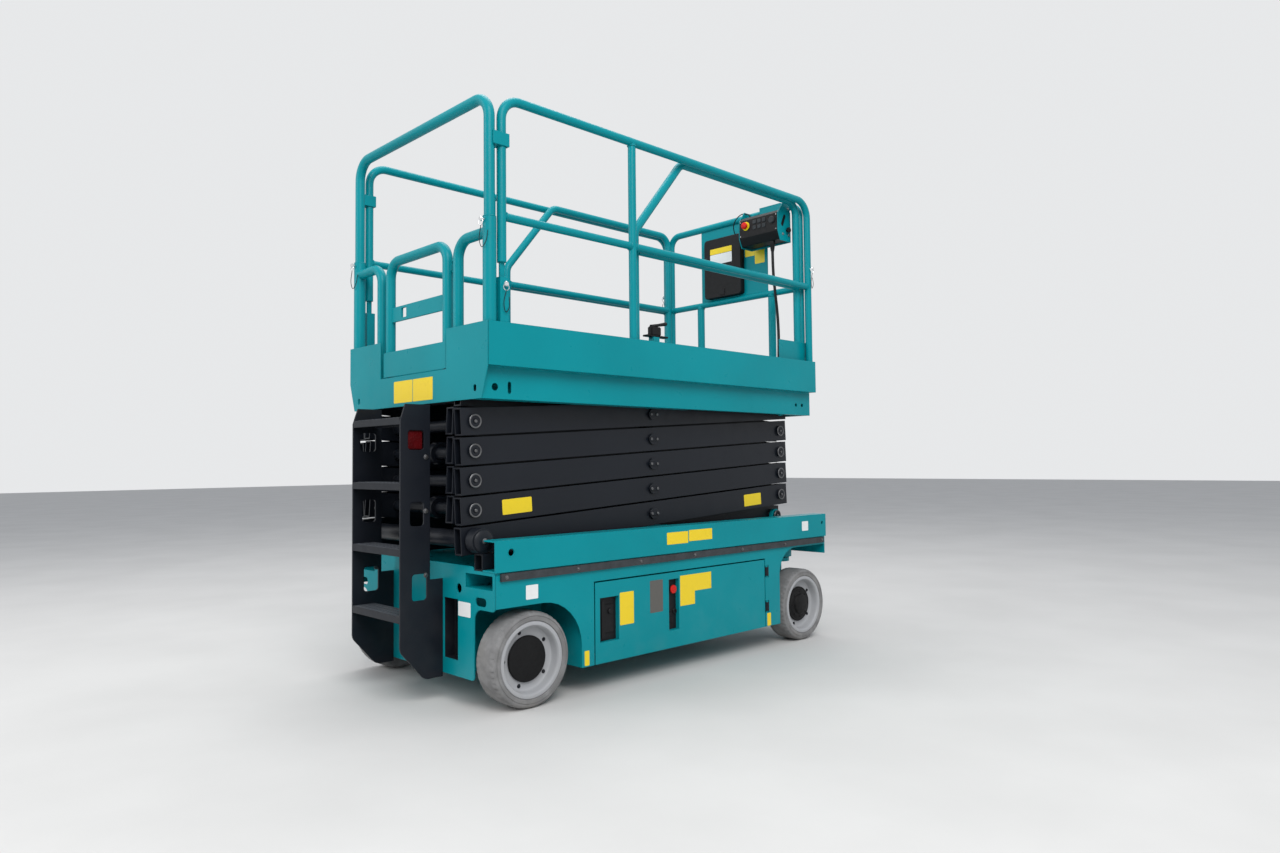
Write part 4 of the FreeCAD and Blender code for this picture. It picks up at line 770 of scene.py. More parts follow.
def make_platform():
    """The floor, the stepped side bands, the rail sockets and what the pack runs in."""
    p = Piece("platform_sheet", "platform", "teal_paint")
    x0, x1 = PLATFORM_REAR + BAND_SHEET, PLATFORM_FRONT
    outer, ledge = PLATFORM_Y - BAND_SHEET, BAND_STEP + BAND_SHEET
    p.box(x0, x1, outer, PLATFORM_Y, BAND_STEP, BAND_TOP)
    p.box(x0, x1, LOW_BAND_INNER, outer, BAND_STEP, ledge)
    p.plate(rectangle(x0, x1, BAND_BOTTOM, BAND_STEP), side_on(LOW_BAND_INNER),
            Y_AXIS * BAND_SHEET, [slot(*hole) for hole in BAND_HOLES])
    p.box(x0, x1 - SHEET, LOW_BAND_Y - BAND_FOOT, LOW_BAND_INNER, BAND_BOTTOM,
          BAND_BOTTOM + BAND_SHEET)
    half = SOCKET_SIDE / 2
    p.walls((SIDE_REAR_POST_X - half, SIDE_REAR_POST_X + half), (outer - SOCKET_SIDE, outer),
            (ledge, SOCKET_TOP), SOCKET_WALL, "+z")
    up, down = TOP_LEVEL + TRACK_HALF, TOP_LEVEL - TRACK_HALF
    web_y = SLIDE_RAIL_Y1 - SHEET
    p.box(x0, SLIDE_END_X, web_y, SLIDE_RAIL_Y1, down - SHEET, BAND_STEP)
    for z in (up, down - SHEET):
        p.box(x0, SLIDE_END_X, SLIDE_RAIL_Y0, web_y, z, z + SHEET)
    ear_y = ARM_FACE_Y + SHEET
    p.plate(ear(TOP_LEVEL, TOP_EAR_RADIUS, TOP_EAR_FOOT, BAND_STEP), side_on(ear_y),
            Y_AXIS * TOP_EAR_THICK)
    p.bar([(FRONT_PIN_X, OUTER_Y0 - TOP_PIN_IN, TOP_LEVEL), (FRONT_PIN_X, ear_y, TOP_LEVEL)],
          TOP_PIN_RADIUS, 20)
    p.mirror()
    p.box(x0, x1, -LOW_BAND_INNER, LOW_BAND_INNER, BAND_STEP, FLOOR_TOP)
    for x in RIBS_X:
        p.box(x, x + RIB_WIDTH, -web_y, web_y, BAND_STEP - RIB_HEIGHT, BAND_STEP)
    left = [(ENTRY_HALF, FLOOR_TOP), (ENTRY_HALF, BAND_TOP), (PLATFORM_Y, BAND_TOP),
            (PLATFORM_Y, BAND_STEP), (LOW_BAND_Y, BAND_BOTTOM)]
    p.plate(left + [(-y, z) for y, z in reversed(left)], end_on(PLATFORM_REAR),
            X_AXIS * BAND_SHEET, [[(side * y, z) for y, z in slot(*END_SLOT)] for _, side in SIDES])
    p.box(x1 - SHEET, x1, -LOW_BAND_INNER, LOW_BAND_INNER, BAND_BOTTOM, BAND_STEP)
    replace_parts(p.done(), "platform_frame")


def make_platform_rails():
    p = Piece("side_rails", "platform", "teal_paint")
    y, low = RAIL_Y, BAND_STEP + BAND_SHEET + SEAT_GAP
    rear, front = SIDE_REAR_POST_X, SIDE_FRONT_POST_X
    p.tube([(rear, y, FOLD_END_Z), (rear, y, TOP_RAIL_Z), (front, y, TOP_RAIL_Z),
            (front, y, low)], RAIL_TUBE, RAIL_BEND)
    p.bar([(rear, y, MID_RAIL_Z), (front, y, MID_RAIL_Z)], RAIL_TUBE - 0.002, 24)
    p.post(MID_POST_X, y, (low, TOP_RAIL_Z), RAIL_TUBE - 0.001)
    p.block((rear - TONGUE[0] / 2, rear + TONGUE[0] / 2), (y - TONGUE[1] / 2, y + TONGUE[1] / 2),
            (SOCKET_TOP - SOCKET_DEPTH, FOLD_END_Z + RAIL_TUBE), 0.002)
    p.mirror()
    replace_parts(p.done(), "platform_rails")


def make_rear_rails():
    """The hoop across the entry with its sleeves and corner clips, the two low hoops beside the
    gate, and the gate's fixed lugs and pins."""
    p = Piece("entry_rails", "platform", "teal_paint")
    x, y, low = REAR_RAIL_X, REAR_RAIL_Y, FLOOR_TOP + SEAT_GAP
    top = REAR_SLEEVE_TOP - low
    p.turned((x, y, low), Z_AXIS, [
        (REAR_TUBE, 0), (REAR_SLEEVE, 0), (REAR_SLEEVE, top - SLEEVE_EDGE),
        (REAR_SLEEVE - SLEEVE_EDGE, top), (REAR_TUBE, top)], 28)
    p.tube([(x, y, HOOP_TOP), (x, HOOP_Y, HOOP_TOP), (x, HOOP_Y, low)], REAR_TUBE, HOOP_BEND)
    bore = RAIL_TUBE + SEAT_GAP
    reach = bore + CLIP_WALL
    p.plate(rectangle(x, SIDE_REAR_POST_X + reach, RAIL_Y - reach, RAIL_Y + reach),
            level_on(CLIP_Z[0]), Z_AXIS * (CLIP_Z[1] - CLIP_Z[0]),
            [circle(SIDE_REAR_POST_X, RAIL_Y, bore)])
    p.mirror()
    p.tube([(x, -y, low), (x, -y, TOP_RAIL_Z), (x, y, TOP_RAIL_Z), (x, y, low)], REAR_TUBE,
           RAIL_BEND)
    hx, hy, span = GATE_HINGE_X, GATE_HINGE_Y, GATE_SLEEVE_HEIGHT / 2 + RUN_GAP
    for z in GATE_HINGE_Z:
        p.post(hx, hy, (z - span - 0.001, z + span + 0.001), GATE_PIN, 14)
        for z0 in (z - span - SHEET, z + span):
            p.box(x, hx, -HOOP_Y, hy - 0.004, z0, z0 + SHEET)
            p.post(hx, hy, (z0, z0 + SHEET), GATE_SLEEVE, 20)
    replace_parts(p.done(), "rear_rails")


def make_gate():
    p = Piece("gate_frame", "gate", "teal_paint")
    x, y = REAR_RAIL_X, GATE_HALF
    p.tube([(x, -y, GATE_BOTTOM), (x, -y, GATE_TOP), (x, y, GATE_TOP), (x, y, GATE_BOTTOM)],
           GATE_TUBE, HOOP_BEND)
    face, reach = x - GATE_TUBE + 0.001, y + GATE_TUBE
    p.box(face - GATE_SHEET, face, -reach, reach, GATE_BOTTOM, GATE_SHEET_TOP)
    p.plate(rectangle(-y, y, *GATE_BAR), end_on(x - GATE_BAR_THICK / 2),
            X_AXIS * GATE_BAR_THICK, [oblong(*LATCH_HOLE)])
    half = GATE_SLEEVE_HEIGHT / 2
    for z in GATE_HINGE_Z:
        p.post(GATE_HINGE_X, GATE_HINGE_Y, (z - half, z + half), GATE_SLEEVE, 20)
        p.box(x, GATE_HINGE_X + 0.004, GATE_HINGE_Y, -y, z - half + 0.001, z + half - 0.001)
    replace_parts(p.done(), "gate")


# Half length, half width and height of a tread lozenge, how far its top is drawn in, and the
# distance from one to the next
LOZENGE, LOZENGE_TOP, DECK_PITCH = (0.013, 0.0035, 0.0014), 0.72, 0.030


def tread_plate(name, body, x, y, z):
    """Raised lozenges in two directions over a floor between (low, high) spans."""
    piece = Piece(name, body, "teal_paint")
    half_long, half_wide, height = LOZENGE
    for i in range(int((x[1] - x[0]) / DECK_PITCH)):
        for j in range(int((y[1] - y[0]) / DECK_PITCH)):
            turn = math.radians(45 if (i + j) % 2 else -45)
            c, s = math.cos(turn), math.sin(turn)
            middle = Vector((x[0] + (i + 0.5) * DECK_PITCH, y[0] + (j + 0.5) * DECK_PITCH, z))
            corners = [Vector((a * c - b * s, a * s + b * c, 0)) for a, b in
                       ((-half_long, 0), (0, -half_wide), (half_long, 0), (0, half_wide))]
            piece.loops([[middle + corner for corner in corners],
                         [middle + corner * LOZENGE_TOP + Z_AXIS * height for corner in corners]])
    piece.done()


# Extension

EXT_REAR, EXT_FLOOR, EXT_BOARD_Y, EXT_BOARD_TOP = -0.290, 1.366, 0.526, 1.505
EXT_FLOOR_TOP = EXT_FLOOR + 0.008
EXT_CORNER_X, EXT_CORNER_TOP = 0.798, 1.635
EXT_TUBE, EXT_TOP_Z, EXT_FRONT_X, EXT_BEND = 0.020, 2.430, 1.038, 0.070
EXT_RAIL_Y = EXT_BOARD_Y - BAND_SHEET - SEAT_GAP - EXT_TUBE
EXT_LEG_X = EXT_FRONT_X - 2 * EXT_TUBE + 0.003
EXT_REAR_POST_X = EXT_REAR + 0.020
EXT_BEND_X, EXT_KNEE_DROP = 0.050, 0.390
PAD_LENGTH, PAD_WIDTH, PAD_Y = 0.080, 0.050, EXT_BOARD_Y - 0.010
FRONT_POSTS_Y, FRONT_POST_RADIUS = (-0.300, 0.252), 0.022
PANEL_Y, PANEL_HEIGHT = (-0.275, 0.240), 0.480
PANEL_BACK, PANEL_FRONT = EXT_FRONT_X - 0.0015, EXT_FRONT_X + 0.0015
LATCH_X, LATCH_BASE_Z, LATCH_TOP_Z, LATCH_DEPTH = (-0.215, -0.075), 1.556, 1.564, 0.034
LATCH_BLOCK_X, LATCH_STEM_X, LATCH_BLOCK_HEIGHT = (-0.185, -0.120), (-0.175, -0.135), 0.041
LEVER_RADIUS, LEVER_RISE = 0.009, 0.022


def make_extension():
    """The sliding deck with its toe boards and pads, and the black lever that locks it."""
    p = Piece("extension_sheet", "extension", "teal_paint")
    front, inner = PLATFORM_FRONT, EXT_BOARD_Y - BAND_SHEET
    board = [(EXT_REAR, EXT_FLOOR), (front, EXT_FLOOR), (front, EXT_CORNER_TOP),
             (EXT_CORNER_X, EXT_CORNER_TOP), (EXT_CORNER_X, EXT_BOARD_TOP),
             (EXT_REAR, EXT_BOARD_TOP)]
    p.plate(board, side_on(inner), Y_AXIS * BAND_SHEET)
    for x in (EXT_REAR, front - 2 * PAD_LENGTH):
        p.box(x, x + PAD_LENGTH, PAD_Y - PAD_WIDTH, PAD_Y, FLOOR_TOP + RUN_GAP, EXT_FLOOR)
    p.mirror()
    p.box(EXT_REAR, front - BAND_SHEET, -inner, inner, EXT_FLOOR, EXT_FLOOR_TOP)
    p.box(front - BAND_SHEET, front, -inner, inner, EXT_FLOOR, EXT_BOARD_TOP)
    y0, y1 = -EXT_BOARD_Y, LATCH_DEPTH - EXT_BOARD_Y
    p.block(LATCH_STEM_X, (y0, y1), (EXT_BOARD_TOP - LATCH_DEPTH, LATCH_BASE_Z))
    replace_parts(p.done(), "extension_deck")
    latch = Piece("deck_latch", "extension", "black_plastic")
    latch.block(LATCH_X, (y0, y1), (LATCH_BASE_Z, LATCH_TOP_Z), 0.002)
    lever_z = LATCH_TOP_Z + LATCH_BLOCK_HEIGHT
    latch.block(LATCH_BLOCK_X, widened((y0, y1), -0.002), (LATCH_TOP_Z - 0.001, lever_z), 0.004)
    start = Vector((LATCH_BLOCK_X[0] + LEVER_RADIUS, (y0 + y1) / 2, lever_z))
    end = Vector((LATCH_X[1], start.y, lever_z + LEVER_RISE))
    latch.bar([start, start.lerp(end, 0.5), end, start.lerp(end, 1.03)], 0, 14,
              [LEVER_RADIUS * share for share in (1, 0.8, 1, 0.6)])
    latch.done()


def make_extension_rails():
    p = Piece("extension_hoops", "extension", "teal_paint")
    x, y, low, top = EXT_FRONT_X, EXT_RAIL_Y, EXT_FLOOR_TOP, EXT_TOP_Z
    p.tube([(EXT_REAR_POST_X, y, low), (EXT_REAR_POST_X, y, top - EXT_KNEE_DROP),
            (EXT_BEND_X, y, top), (EXT_LEG_X, y, top), (EXT_LEG_X, y, low)], EXT_TUBE, EXT_BEND)
    p.bar([(EXT_REAR_POST_X, y, MID_RAIL_Z), (x, y, MID_RAIL_Z)], EXT_TUBE - 0.002, 24)
    p.mirror()
    p.tube([(x, -y, low), (x, -y, top), (x, y, top), (x, y, low)], EXT_TUBE, EXT_BEND)
    p.bar([(x, -y, MID_RAIL_Z), (x, y, MID_RAIL_Z)], EXT_TUBE - 0.002, 24)
    for post_y in FRONT_POSTS_Y:
        p.post(x, post_y, (low, MID_RAIL_Z), FRONT_POST_RADIUS)
    p.box(PANEL_BACK, PANEL_FRONT, *PANEL_Y, top - PANEL_HEIGHT, top)
    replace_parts(p.done(), "extension_rails")


# Welds: place, the tube's axis, its radius and the bead's size. Each is made on both sides.
PLATFORM_WELDS = (
    ((SIDE_REAR_POST_X + 0.019, RAIL_Y, MID_RAIL_Z), X_AXIS, 0.017, 0.004),
    ((SIDE_FRONT_POST_X - 0.019, RAIL_Y, MID_RAIL_Z), X_AXIS, 0.017, 0.004),
    ((MID_POST_X - 0.018, RAIL_Y, MID_RAIL_Z), X_AXIS, 0.017, 0.004),
    ((MID_POST_X + 0.018, RAIL_Y, MID_RAIL_Z), X_AXIS, 0.017, 0.004),
    ((MID_POST_X, RAIL_Y, TOP_RAIL_Z - 0.0185), Z_AXIS, 0.018, 0.004),
    ((MID_POST_X, RAIL_Y, 1.3585), Z_AXIS, 0.018, 0.004),
    ((SIDE_FRONT_POST_X, RAIL_Y, 1.3585), Z_AXIS, 0.019, 0.004),
    ((-1.1017, 0.5427, REAR_SLEEVE_TOP), Z_AXIS, 0.022, 0.005),
    ((-1.1017, HOOP_Y, 1.3605), Z_AXIS, 0.022, 0.004),
)
EXTENSION_WELDS = (
    ((-0.250, EXT_RAIL_Y, MID_RAIL_Z), X_AXIS, 0.018, 0.004),
    ((-0.270, EXT_RAIL_Y, 1.3745), Z_AXIS, 0.020, 0.004),
    ((EXT_LEG_X, EXT_RAIL_Y, 1.3745), Z_AXIS, 0.020, 0.004),
    ((EXT_FRONT_X, EXT_RAIL_Y, 1.3745), Z_AXIS, 0.020, 0.004),
    ((EXT_FRONT_X, EXT_RAIL_Y - 0.020, MID_RAIL_Z), Y_AXIS, 0.018, 0.004),
)


def rail_welds():
    for name, body, welds in (("rail_welds", "platform", PLATFORM_WELDS),
                              ("extension_welds", "extension", EXTENSION_WELDS)):
        beads = Piece(name, body, "teal_paint")
        for (x, y, z), axis, radius, size in welds:
            for _, side in SIDES:
                beads.weld((x, side * y, z), axis, radius, size)
        if body == "extension":
            for y in FRONT_POSTS_Y:
                for z in (MID_RAIL_Z - 0.018, 1.3745):
                    beads.weld((EXT_FRONT_X, y, z), Z_AXIS, FRONT_POST_RADIUS, 0.004)
        beads.done()


# Latch pins of the folding rails: the place, the way the pin points, and how far its end is
LATCH_PINS = (
    ((-1.1017, 0.5427, 1.925), (-1, 0), 0.030),
    ((-1.050, 0.5507, 1.675), (0, 1), 0.0215),
    ((1.040, 0.5507, 2.050), (0, 1), 0.0215),
)
PULL_PIN = [(0, 0), (0.0055, 0), (0.0055, 0.012), (0.0100, 0.013), (0.0105, 0.018),
            (0.0080, 0.0215), (0, 0.0220)]
PULL_RING = 0.013
# Along a lanyard: across, outwards and down from the ring
LANYARD = ((0, 0, 0), (0.012, 0, 0.050), (0, -0.004, 0.085), (-0.022, -0.010, 0.060),
           (-0.024, -0.016, 0.020))


def latch_pins():
    """Chrome pins with a pull ring and a black lanyard, one at each folding joint."""
    pins = Piece("latch_pins", "platform", "chrome")
    cords = Piece("latch_lanyards", "platform", "black_plastic")
    for _, side in SIDES:
        for (x, y, z), way, reach in LATCH_PINS:
            out = Vector((way[0], side * way[1], 0))
            start = Vector((x, side * y, z)) + out * (reach - 0.006)
            pins.turned(start, out, PULL_PIN, 20)
            across = out.cross(Z_AXIS)
            hook = start + out * 0.016
            ring = [hook + across * (PULL_RING * math.sin(a))
                    - Z_AXIS * (PULL_RING - PULL_RING * math.cos(a))
                    for a in [2 * math.pi * i / 20 for i in range(20)]]
            pins.bar(ring + [ring[0]], 0.0014, 6)
            low = hook - Z_AXIS * 0.026
            cords.bar(smooth_line([low + across * a + out * b - Z_AXIS * c
                                   for a, b, c in LANYARD]), 0.0016, 6)
    pins.done()
    cords.done()


# Wheels

TYRE_PROFILE = [
    (0.134, 0.119), (0.134, 0.017), (0.1515, 0.011), (0.1530, 0.004), (0.1560, 0.0015),
    (0.1690, 0.0005), (0.1702, 0.0028), (0.1725, 0.0028), (0.1738, 0.0006), (0.1790, 0.0018),
    (0.1840, 0.0055), (0.1878, 0.0110), (0.1898, 0.0180), (0.1905, 0.0260), (0.1905, 0.0520),
    (0.1905, 0.0760), (0.1905, 0.1010), (0.1898, 0.1090), (0.1875, 0.1160), (0.1830, 0.1220),
    (0.1770, 0.1258), (0.1500, 0.1265), (0.1400, 0.1240),
]
TREAD_POINTS = range(11, 18)
SHOULDER_POINTS = (11, 12, 17, 18)
TYRE_SEGMENTS = 240
NOTCH_EVERY, NOTCH_DEPTH, SCUFF_DEPTH = 5, 0.0042, 0.0012
RIM_PROFILE = [
    (0.0302, 0.1210), (0.0750, 0.1210), (0.0750, 0.0620), (0.1190, 0.0620), (0.1190, 0.1195),
    (0.1335, 0.1195), (0.1335, 0.0165), (0.1508, 0.0105), (0.1522, 0.0060), (0.1505, 0.0030),
    (0.1440, 0.0015), (0.1365, 0.0030), (0.1325, 0.0075), (0.1305, 0.0150), (0.1290, 0.0330),
    (0.1265, 0.0415), (0.1215, 0.0455), (0.1150, 0.0465), (0.0930, 0.0465), (0.0930, 0.0440),
    (0.0, 0.0440), (0.0, 0.0500), (0.0302, 0.0500),
]
HUB_FLAT = [(0.0, 0.0460), (0.0920, 0.0460), (0.0925, 0.0380), (0.0900, 0.0345),
            (0.0860, 0.0335), (0.0, 0.0330)]
HUB_DOMED = [(0.0, 0.0460), (0.0920, 0.0460), (0.0925, 0.0380), (0.0900, 0.0350),
             (0.0800, 0.0340), (0.0760, 0.0300), (0.0640, 0.0270), (0.0560, 0.0265),
             (0.0520, 0.0180), (0.0420, 0.0130), (0.0, 0.0120)]


def bolt_circle(piece, at, inward, count, phase, radius, depth, size, washer):
    for k in range(count):
        angle = phase + 2 * math.pi * k / count
        out = Vector((math.cos(angle), 0, math.sin(angle)))
        piece.bolt(at + out * radius + inward * depth, -inward, size, washer)


def make_wheels():
    draw = random.Random(7)
    for name, x, hub in (("rear", -WHEEL_X, HUB_FLAT), ("front", WHEEL_X, HUB_DOMED)):
        for side_name, side in SIDES:
            which = "%s_%s" % (name, side_name)
            at = Vector((x, side * WHEEL_FACE_Y, WHEEL_RADIUS))
            inward = Vector((0, -side, 0))
            scuffs = [[draw.random() for _ in TYRE_PROFILE] for _ in range(TYRE_SEGMENTS)]

            def dent(i, j):
                cut = 0.0
                if j in SHOULDER_POINTS and i % NOTCH_EVERY in (0, 1):
                    cut = NOTCH_DEPTH * (0.55 + 0.45 * scuffs[i][j])
                if j in TREAD_POINTS:
                    cut += SCUFF_DEPTH * scuffs[i][j] ** 6
                return cut

            tyre = Piece("tyre_rubber_" + which, "wheel_" + which, "tyre")
            tyre.turned(at, inward, TYRE_PROFILE, TYRE_SEGMENTS, dent)
            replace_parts(tyre.done(sharp=28.0), "tyre_" + which)
            rim = Piece("rim_disc_" + which, "wheel_" + which, "rim")
            rim.turned(at, inward, RIM_PROFILE, 72)
            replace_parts(rim.done(sharp=30.0), "rim_" + which)
            cap = Piece("hub_cap_" + which, "wheel_" + which, "black_plastic", HUB_BLACK)
            cap.turned(at, inward, hub, 48)
            if name == "front":
                bolt_circle(cap, at, inward, 8, 0.0, 0.068, 0.0285, 0.0055, False)
            cap.done()
            bolts = Piece("rim_bolts_" + which, "wheel_" + which, "machine_grey", DARK_PAINT)
            bolt_circle(bolts, at, inward, 5, math.radians(35), 0.1095, 0.0465, 0.0062, True)
            bolts.done()


# Scissor pack

RING_PROFILE = [(0.0215, 0.0), (0.0285, 0.0), (0.0290, 0.0022), (0.0272, 0.0036),
                (0.0245, 0.0036), (0.0225, 0.0026)]
CAP_PROFILE = [(0.0, 0.0), (0.0222, 0.0), (0.0222, 0.0012), (0.0190, 0.0018), (0.0120, 0.0018),
               (0.0105, 0.0010), (0.0, 0.0010)]
KEEPER_LONG, KEEPER_WIDE, KEEPER_THICK, KEEPER_CORNER = 0.062, 0.020, 0.004, 0.006
KEEPER_BOLT_X = 0.019
ROLLER_DOME = [(0.0, 0.0), (0.0440, 0.0), (0.0430, 0.0040), (0.0360, 0.0085),
               (0.0220, 0.0110), (0.0, 0.0118)]
ROLLER_FACE_Y = 0.492


def arm_pins():
    """A ring round a dark cap with one bolt on each end pin, a keeper plate with two bolts on
    each centre pin, and the domed ends of the lowest rollers."""
    for k in range(1, 6):
        body = "inner_%d" % k
        rings = Piece("pin_rings_%d" % k, body, "machine_grey", PIN_STEEL)
        caps = Piece("pin_caps_%d" % k, body, "scissor_paint")
        ends = [(FRONT_PIN_X, LEVEL_0 + (k - 1) * PITCH, EAR_PIN_FACE_Y if k == 1 else PIN_FACE_Y)]
        if k < 5:
            ends.append((REAR_PIN_X, LEVEL_0 + k * PITCH, PIN_FACE_Y))
        for _, side in SIDES:
            out = Y_AXIS * side
            for x, z, y in ends:
                at = Vector((x, side * y, z))
                rings.turned(at, out, RING_PROFILE, 32)
                caps.turned(at, out, CAP_PROFILE, 32)
                rings.bolt(at + out * 0.0010, out, 0.0075, False)
            at = Vector((CENTRE_PIN_X, side * PIN_FACE_Y, LEVEL_0 + (k - 0.5) * PITCH))
            caps.slab(card(KEEPER_LONG, KEEPER_WIDE, KEEPER_CORNER), at, X_AXIS * -side, Z_AXIS,
                      KEEPER_THICK, 0.0008)
            for x in (-KEEPER_BOLT_X, KEEPER_BOLT_X):
                rings.bolt(at + X_AXIS * x + out * KEEPER_THICK, out, 0.0072, False)
        rings.done()
        caps.done()
    domes = Piece("roller_domes", "outer_1", "scissor_paint")
    bolts = Piece("roller_bolts", "outer_1", "machine_grey", PIN_STEEL)
    for _, side in SIDES:
        at, out = Vector((REAR_PIN_X, side * ROLLER_FACE_Y, LEVEL_0)), Y_AXIS * side
        domes.turned(at, out, ROLLER_DOME, 40)
        bolts.bolt(at + out * 0.0117, out, 0.0085)
    domes.done()
    bolts.done()


# Labels, all of them blank

FILM_THICK, FILM_EDGE = 0.0006, 0.0001
# Name, body, material, y of the face, and on it: middle x, middle z, width, height
SIDE_LABELS = (
    ("label_arm_rear", "outer_2", YELLOW_FILM, -ARM_FACE_Y, -0.890, 0.796, 0.150, 0.062),
    ("label_arm_front", "outer_1", YELLOW_FILM, -ARM_FACE_Y, 0.665, 0.765, 0.144, 0.062),
    ("label_beam_rear", "chassis", YELLOW_FILM, -BEAM_Y, -0.0905, 0.6185, 0.143, 0.055),
    ("label_beam_front", "chassis", YELLOW_FILM, -BEAM_Y, 0.0695, 0.6235, 0.165, 0.052),
    ("label_beam_end", "chassis", WHITE_FILM, -BEAM_Y, 0.9225, 0.6155, 0.057, 0.051),
    ("label_skirt", "chassis", WHITE_FILM, -SKIRT_Y, -0.926, 0.460, 0.060, 0.056),
    ("label_skirt_low", "chassis", YELLOW_FILM, -SKIRT_Y, -0.641, 0.153, 0.026, 0.062),
    ("label_skirt_front", "chassis", YELLOW_FILM, -SKIRT_Y, 0.604, 0.152, 0.030, 0.066),
    ("label_door_rear", "tray_right", YELLOW_FILM, -SKIRT_Y, -0.409, 0.3335, 0.084, 0.141),
    ("plate_door", "tray_right", PLATE_FILM, -SKIRT_Y, -0.224, 0.364, 0.082, 0.144),
    ("label_beam_left", "chassis", YELLOW_FILM, BEAM_Y, 0.0, 0.620, 0.200, 0.055),
    ("label_door_left_side", "tray_left", YELLOW_FILM, SKIRT_Y, 0.120, 0.360, 0.100, 0.140),
)
# Name, body, material, x of the face, and on it: middle y, middle z, width, height
END_LABELS = (
    ("label_entry_left", "platform", YELLOW_FILM, PLATFORM_REAR, 0.072, 1.289, 0.160, 0.096),
    ("label_entry_right", "platform", YELLOW_FILM, PLATFORM_REAR, -0.093, 1.289, 0.160, 0.096),
    ("label_rear_plate", "chassis", WHITE_FILM, CHASSIS_REAR, -0.368, 0.390, 0.088, 0.058),
    ("label_panel_left", "extension", YELLOW_FILM, PANEL_BACK, -0.1435, 2.234, 0.072, 0.076),
    ("label_panel_right", "extension", YELLOW_FILM, PANEL_BACK, -0.217, 2.189, 0.072, 0.092),
    ("label_manual_top", "extension", YELLOW_FILM, 1.0002, 0.052, 2.262, 0.172, 0.034),
    ("label_manual_low", "extension", WHITE_FILM, 1.0002, 0.052, 2.212, 0.172, 0.062),
)
STEPPED_LABEL = [(-0.067, 0.300), (0.034, 0.300), (0.034, 0.361), (0.152, 0.361),
                 (0.152, 0.440), (-0.067, 0.440)]


def make_labels():
    for name, body, material, y, x, z, width, height in SIDE_LABELS:
        turn = Quaternion(Y_AXIS, -ARM_TILT if body.startswith("outer") else 0.0)
        label = Piece(name, body, "teal_paint", material)
        label.slab(card(width, height), (x, y, z), turn @ (X_AXIS * math.copysign(1, -y)),
                   turn @ Z_AXIS, FILM_THICK, FILM_EDGE)
        label.done()
    for name, body, material, x, y, z, width, height in END_LABELS:
        label = Piece(name, body, "teal_paint", material)
        label.slab(card(width, height), (x, y, z), -Y_AXIS, Z_AXIS, FILM_THICK, FILM_EDGE)
        label.done()
    label = Piece("label_door_front", "tray_right", "teal_paint", YELLOW_FILM)
    label.plate(STEPPED_LABEL, side_on(-SKIRT_Y), Y_AXIS * -FILM_THICK)
    label.done()


# Ground controls

GROUND_STOP_AT, STOP_HEIGHT = (-0.106, 0.382), 0.0075
GROUND_STOP = [(0, 0), (0.0150, 0), (0.0190, 0.0025), (0.0200, 0.0055), (0.0185, 0.0090),
               (0.0120, 0.0110), (0, 0.0114)]
GROUND_COLLAR = [(0, 0), (0.0235, 0), (0.0235, 0.0022), (0.0220, 0.0030), (0.0125, 0.0030),
                 (0.0125, 0.0080), (0, 0.0080)]
TOGGLES_AT = ((-0.128, 0.279), (-0.090, 0.279))
TOGGLE = [(0, 0), (0.0120, 0), (0.0120, 0.006), (0.0105, 0.008), (0, 0.008)]
KEY_SWITCH_AT = (-0.122, 0.242)
KEY_SWITCH = [(0, 0), (0.0130, 0), (0.0130, 0.010), (0.0110, 0.0125), (0, 0.0125)]


def ground_controls():
    """The red stop button, the key switch and the toggles in the door's recess."""
    floor_y, out = -RECESS_FLOOR, -Y_AXIS
    at = Vector((GROUND_STOP_AT[0], floor_y, GROUND_STOP_AT[1]))
    stop = Piece("ground_stop", "tray_right", "black_plastic", RED_PLASTIC)
    stop.turned(at + out * STOP_HEIGHT, out, GROUND_STOP, 36)
    stop.done()
    collar = Piece("ground_stop_collar", "tray_right", "black_plastic")
    collar.turned(at, out, GROUND_COLLAR, 36)
    collar.done()
    rest = Piece("ground_switches", "tray_right", "black_plastic")
    # The black plate over the whole recess floor carries the switches, and is also painted shade
    # that makes the shallow recess look dark and deep.
    rest.slab(oblong(-0.1095, 0.3135, 0.063, 0.229, 0.004, steps=4), (0, floor_y, 0), X_AXIS,
              Z_AXIS, 0.0012, 0.0002)
    for x, z in TOGGLES_AT:
        rest.turned((x, floor_y, z), out, TOGGLE)
        rest.bar([(x, floor_y - 0.008, z), (x, floor_y - 0.0165, z + 0.006)], 0.003)
    x, z = KEY_SWITCH_AT
    rest.turned((x, floor_y, z), out, KEY_SWITCH, 28)
    rest.block((x - 0.002, x + 0.002), (floor_y - 0.0145, floor_y - 0.0120), (z - 0.010, z + 0.010),
               0.0006)
    rest.done()


# Platform controls

CONTROL_Y = (-0.460, -0.190)
CONTROL_BOTTOM, CONTROL_TOP = 2.220, 2.385
CONTROL_REAR, CONTROL_BACK = 0.885, 0.998
CONTROL_BROW, CONTROL_CHIN = 0.020, (0.022, 0.045)
CRADLE_SHEET, CRADLE_LIP, CRADLE_EAR = 0.005, 0.008, (0.070, 0.045)
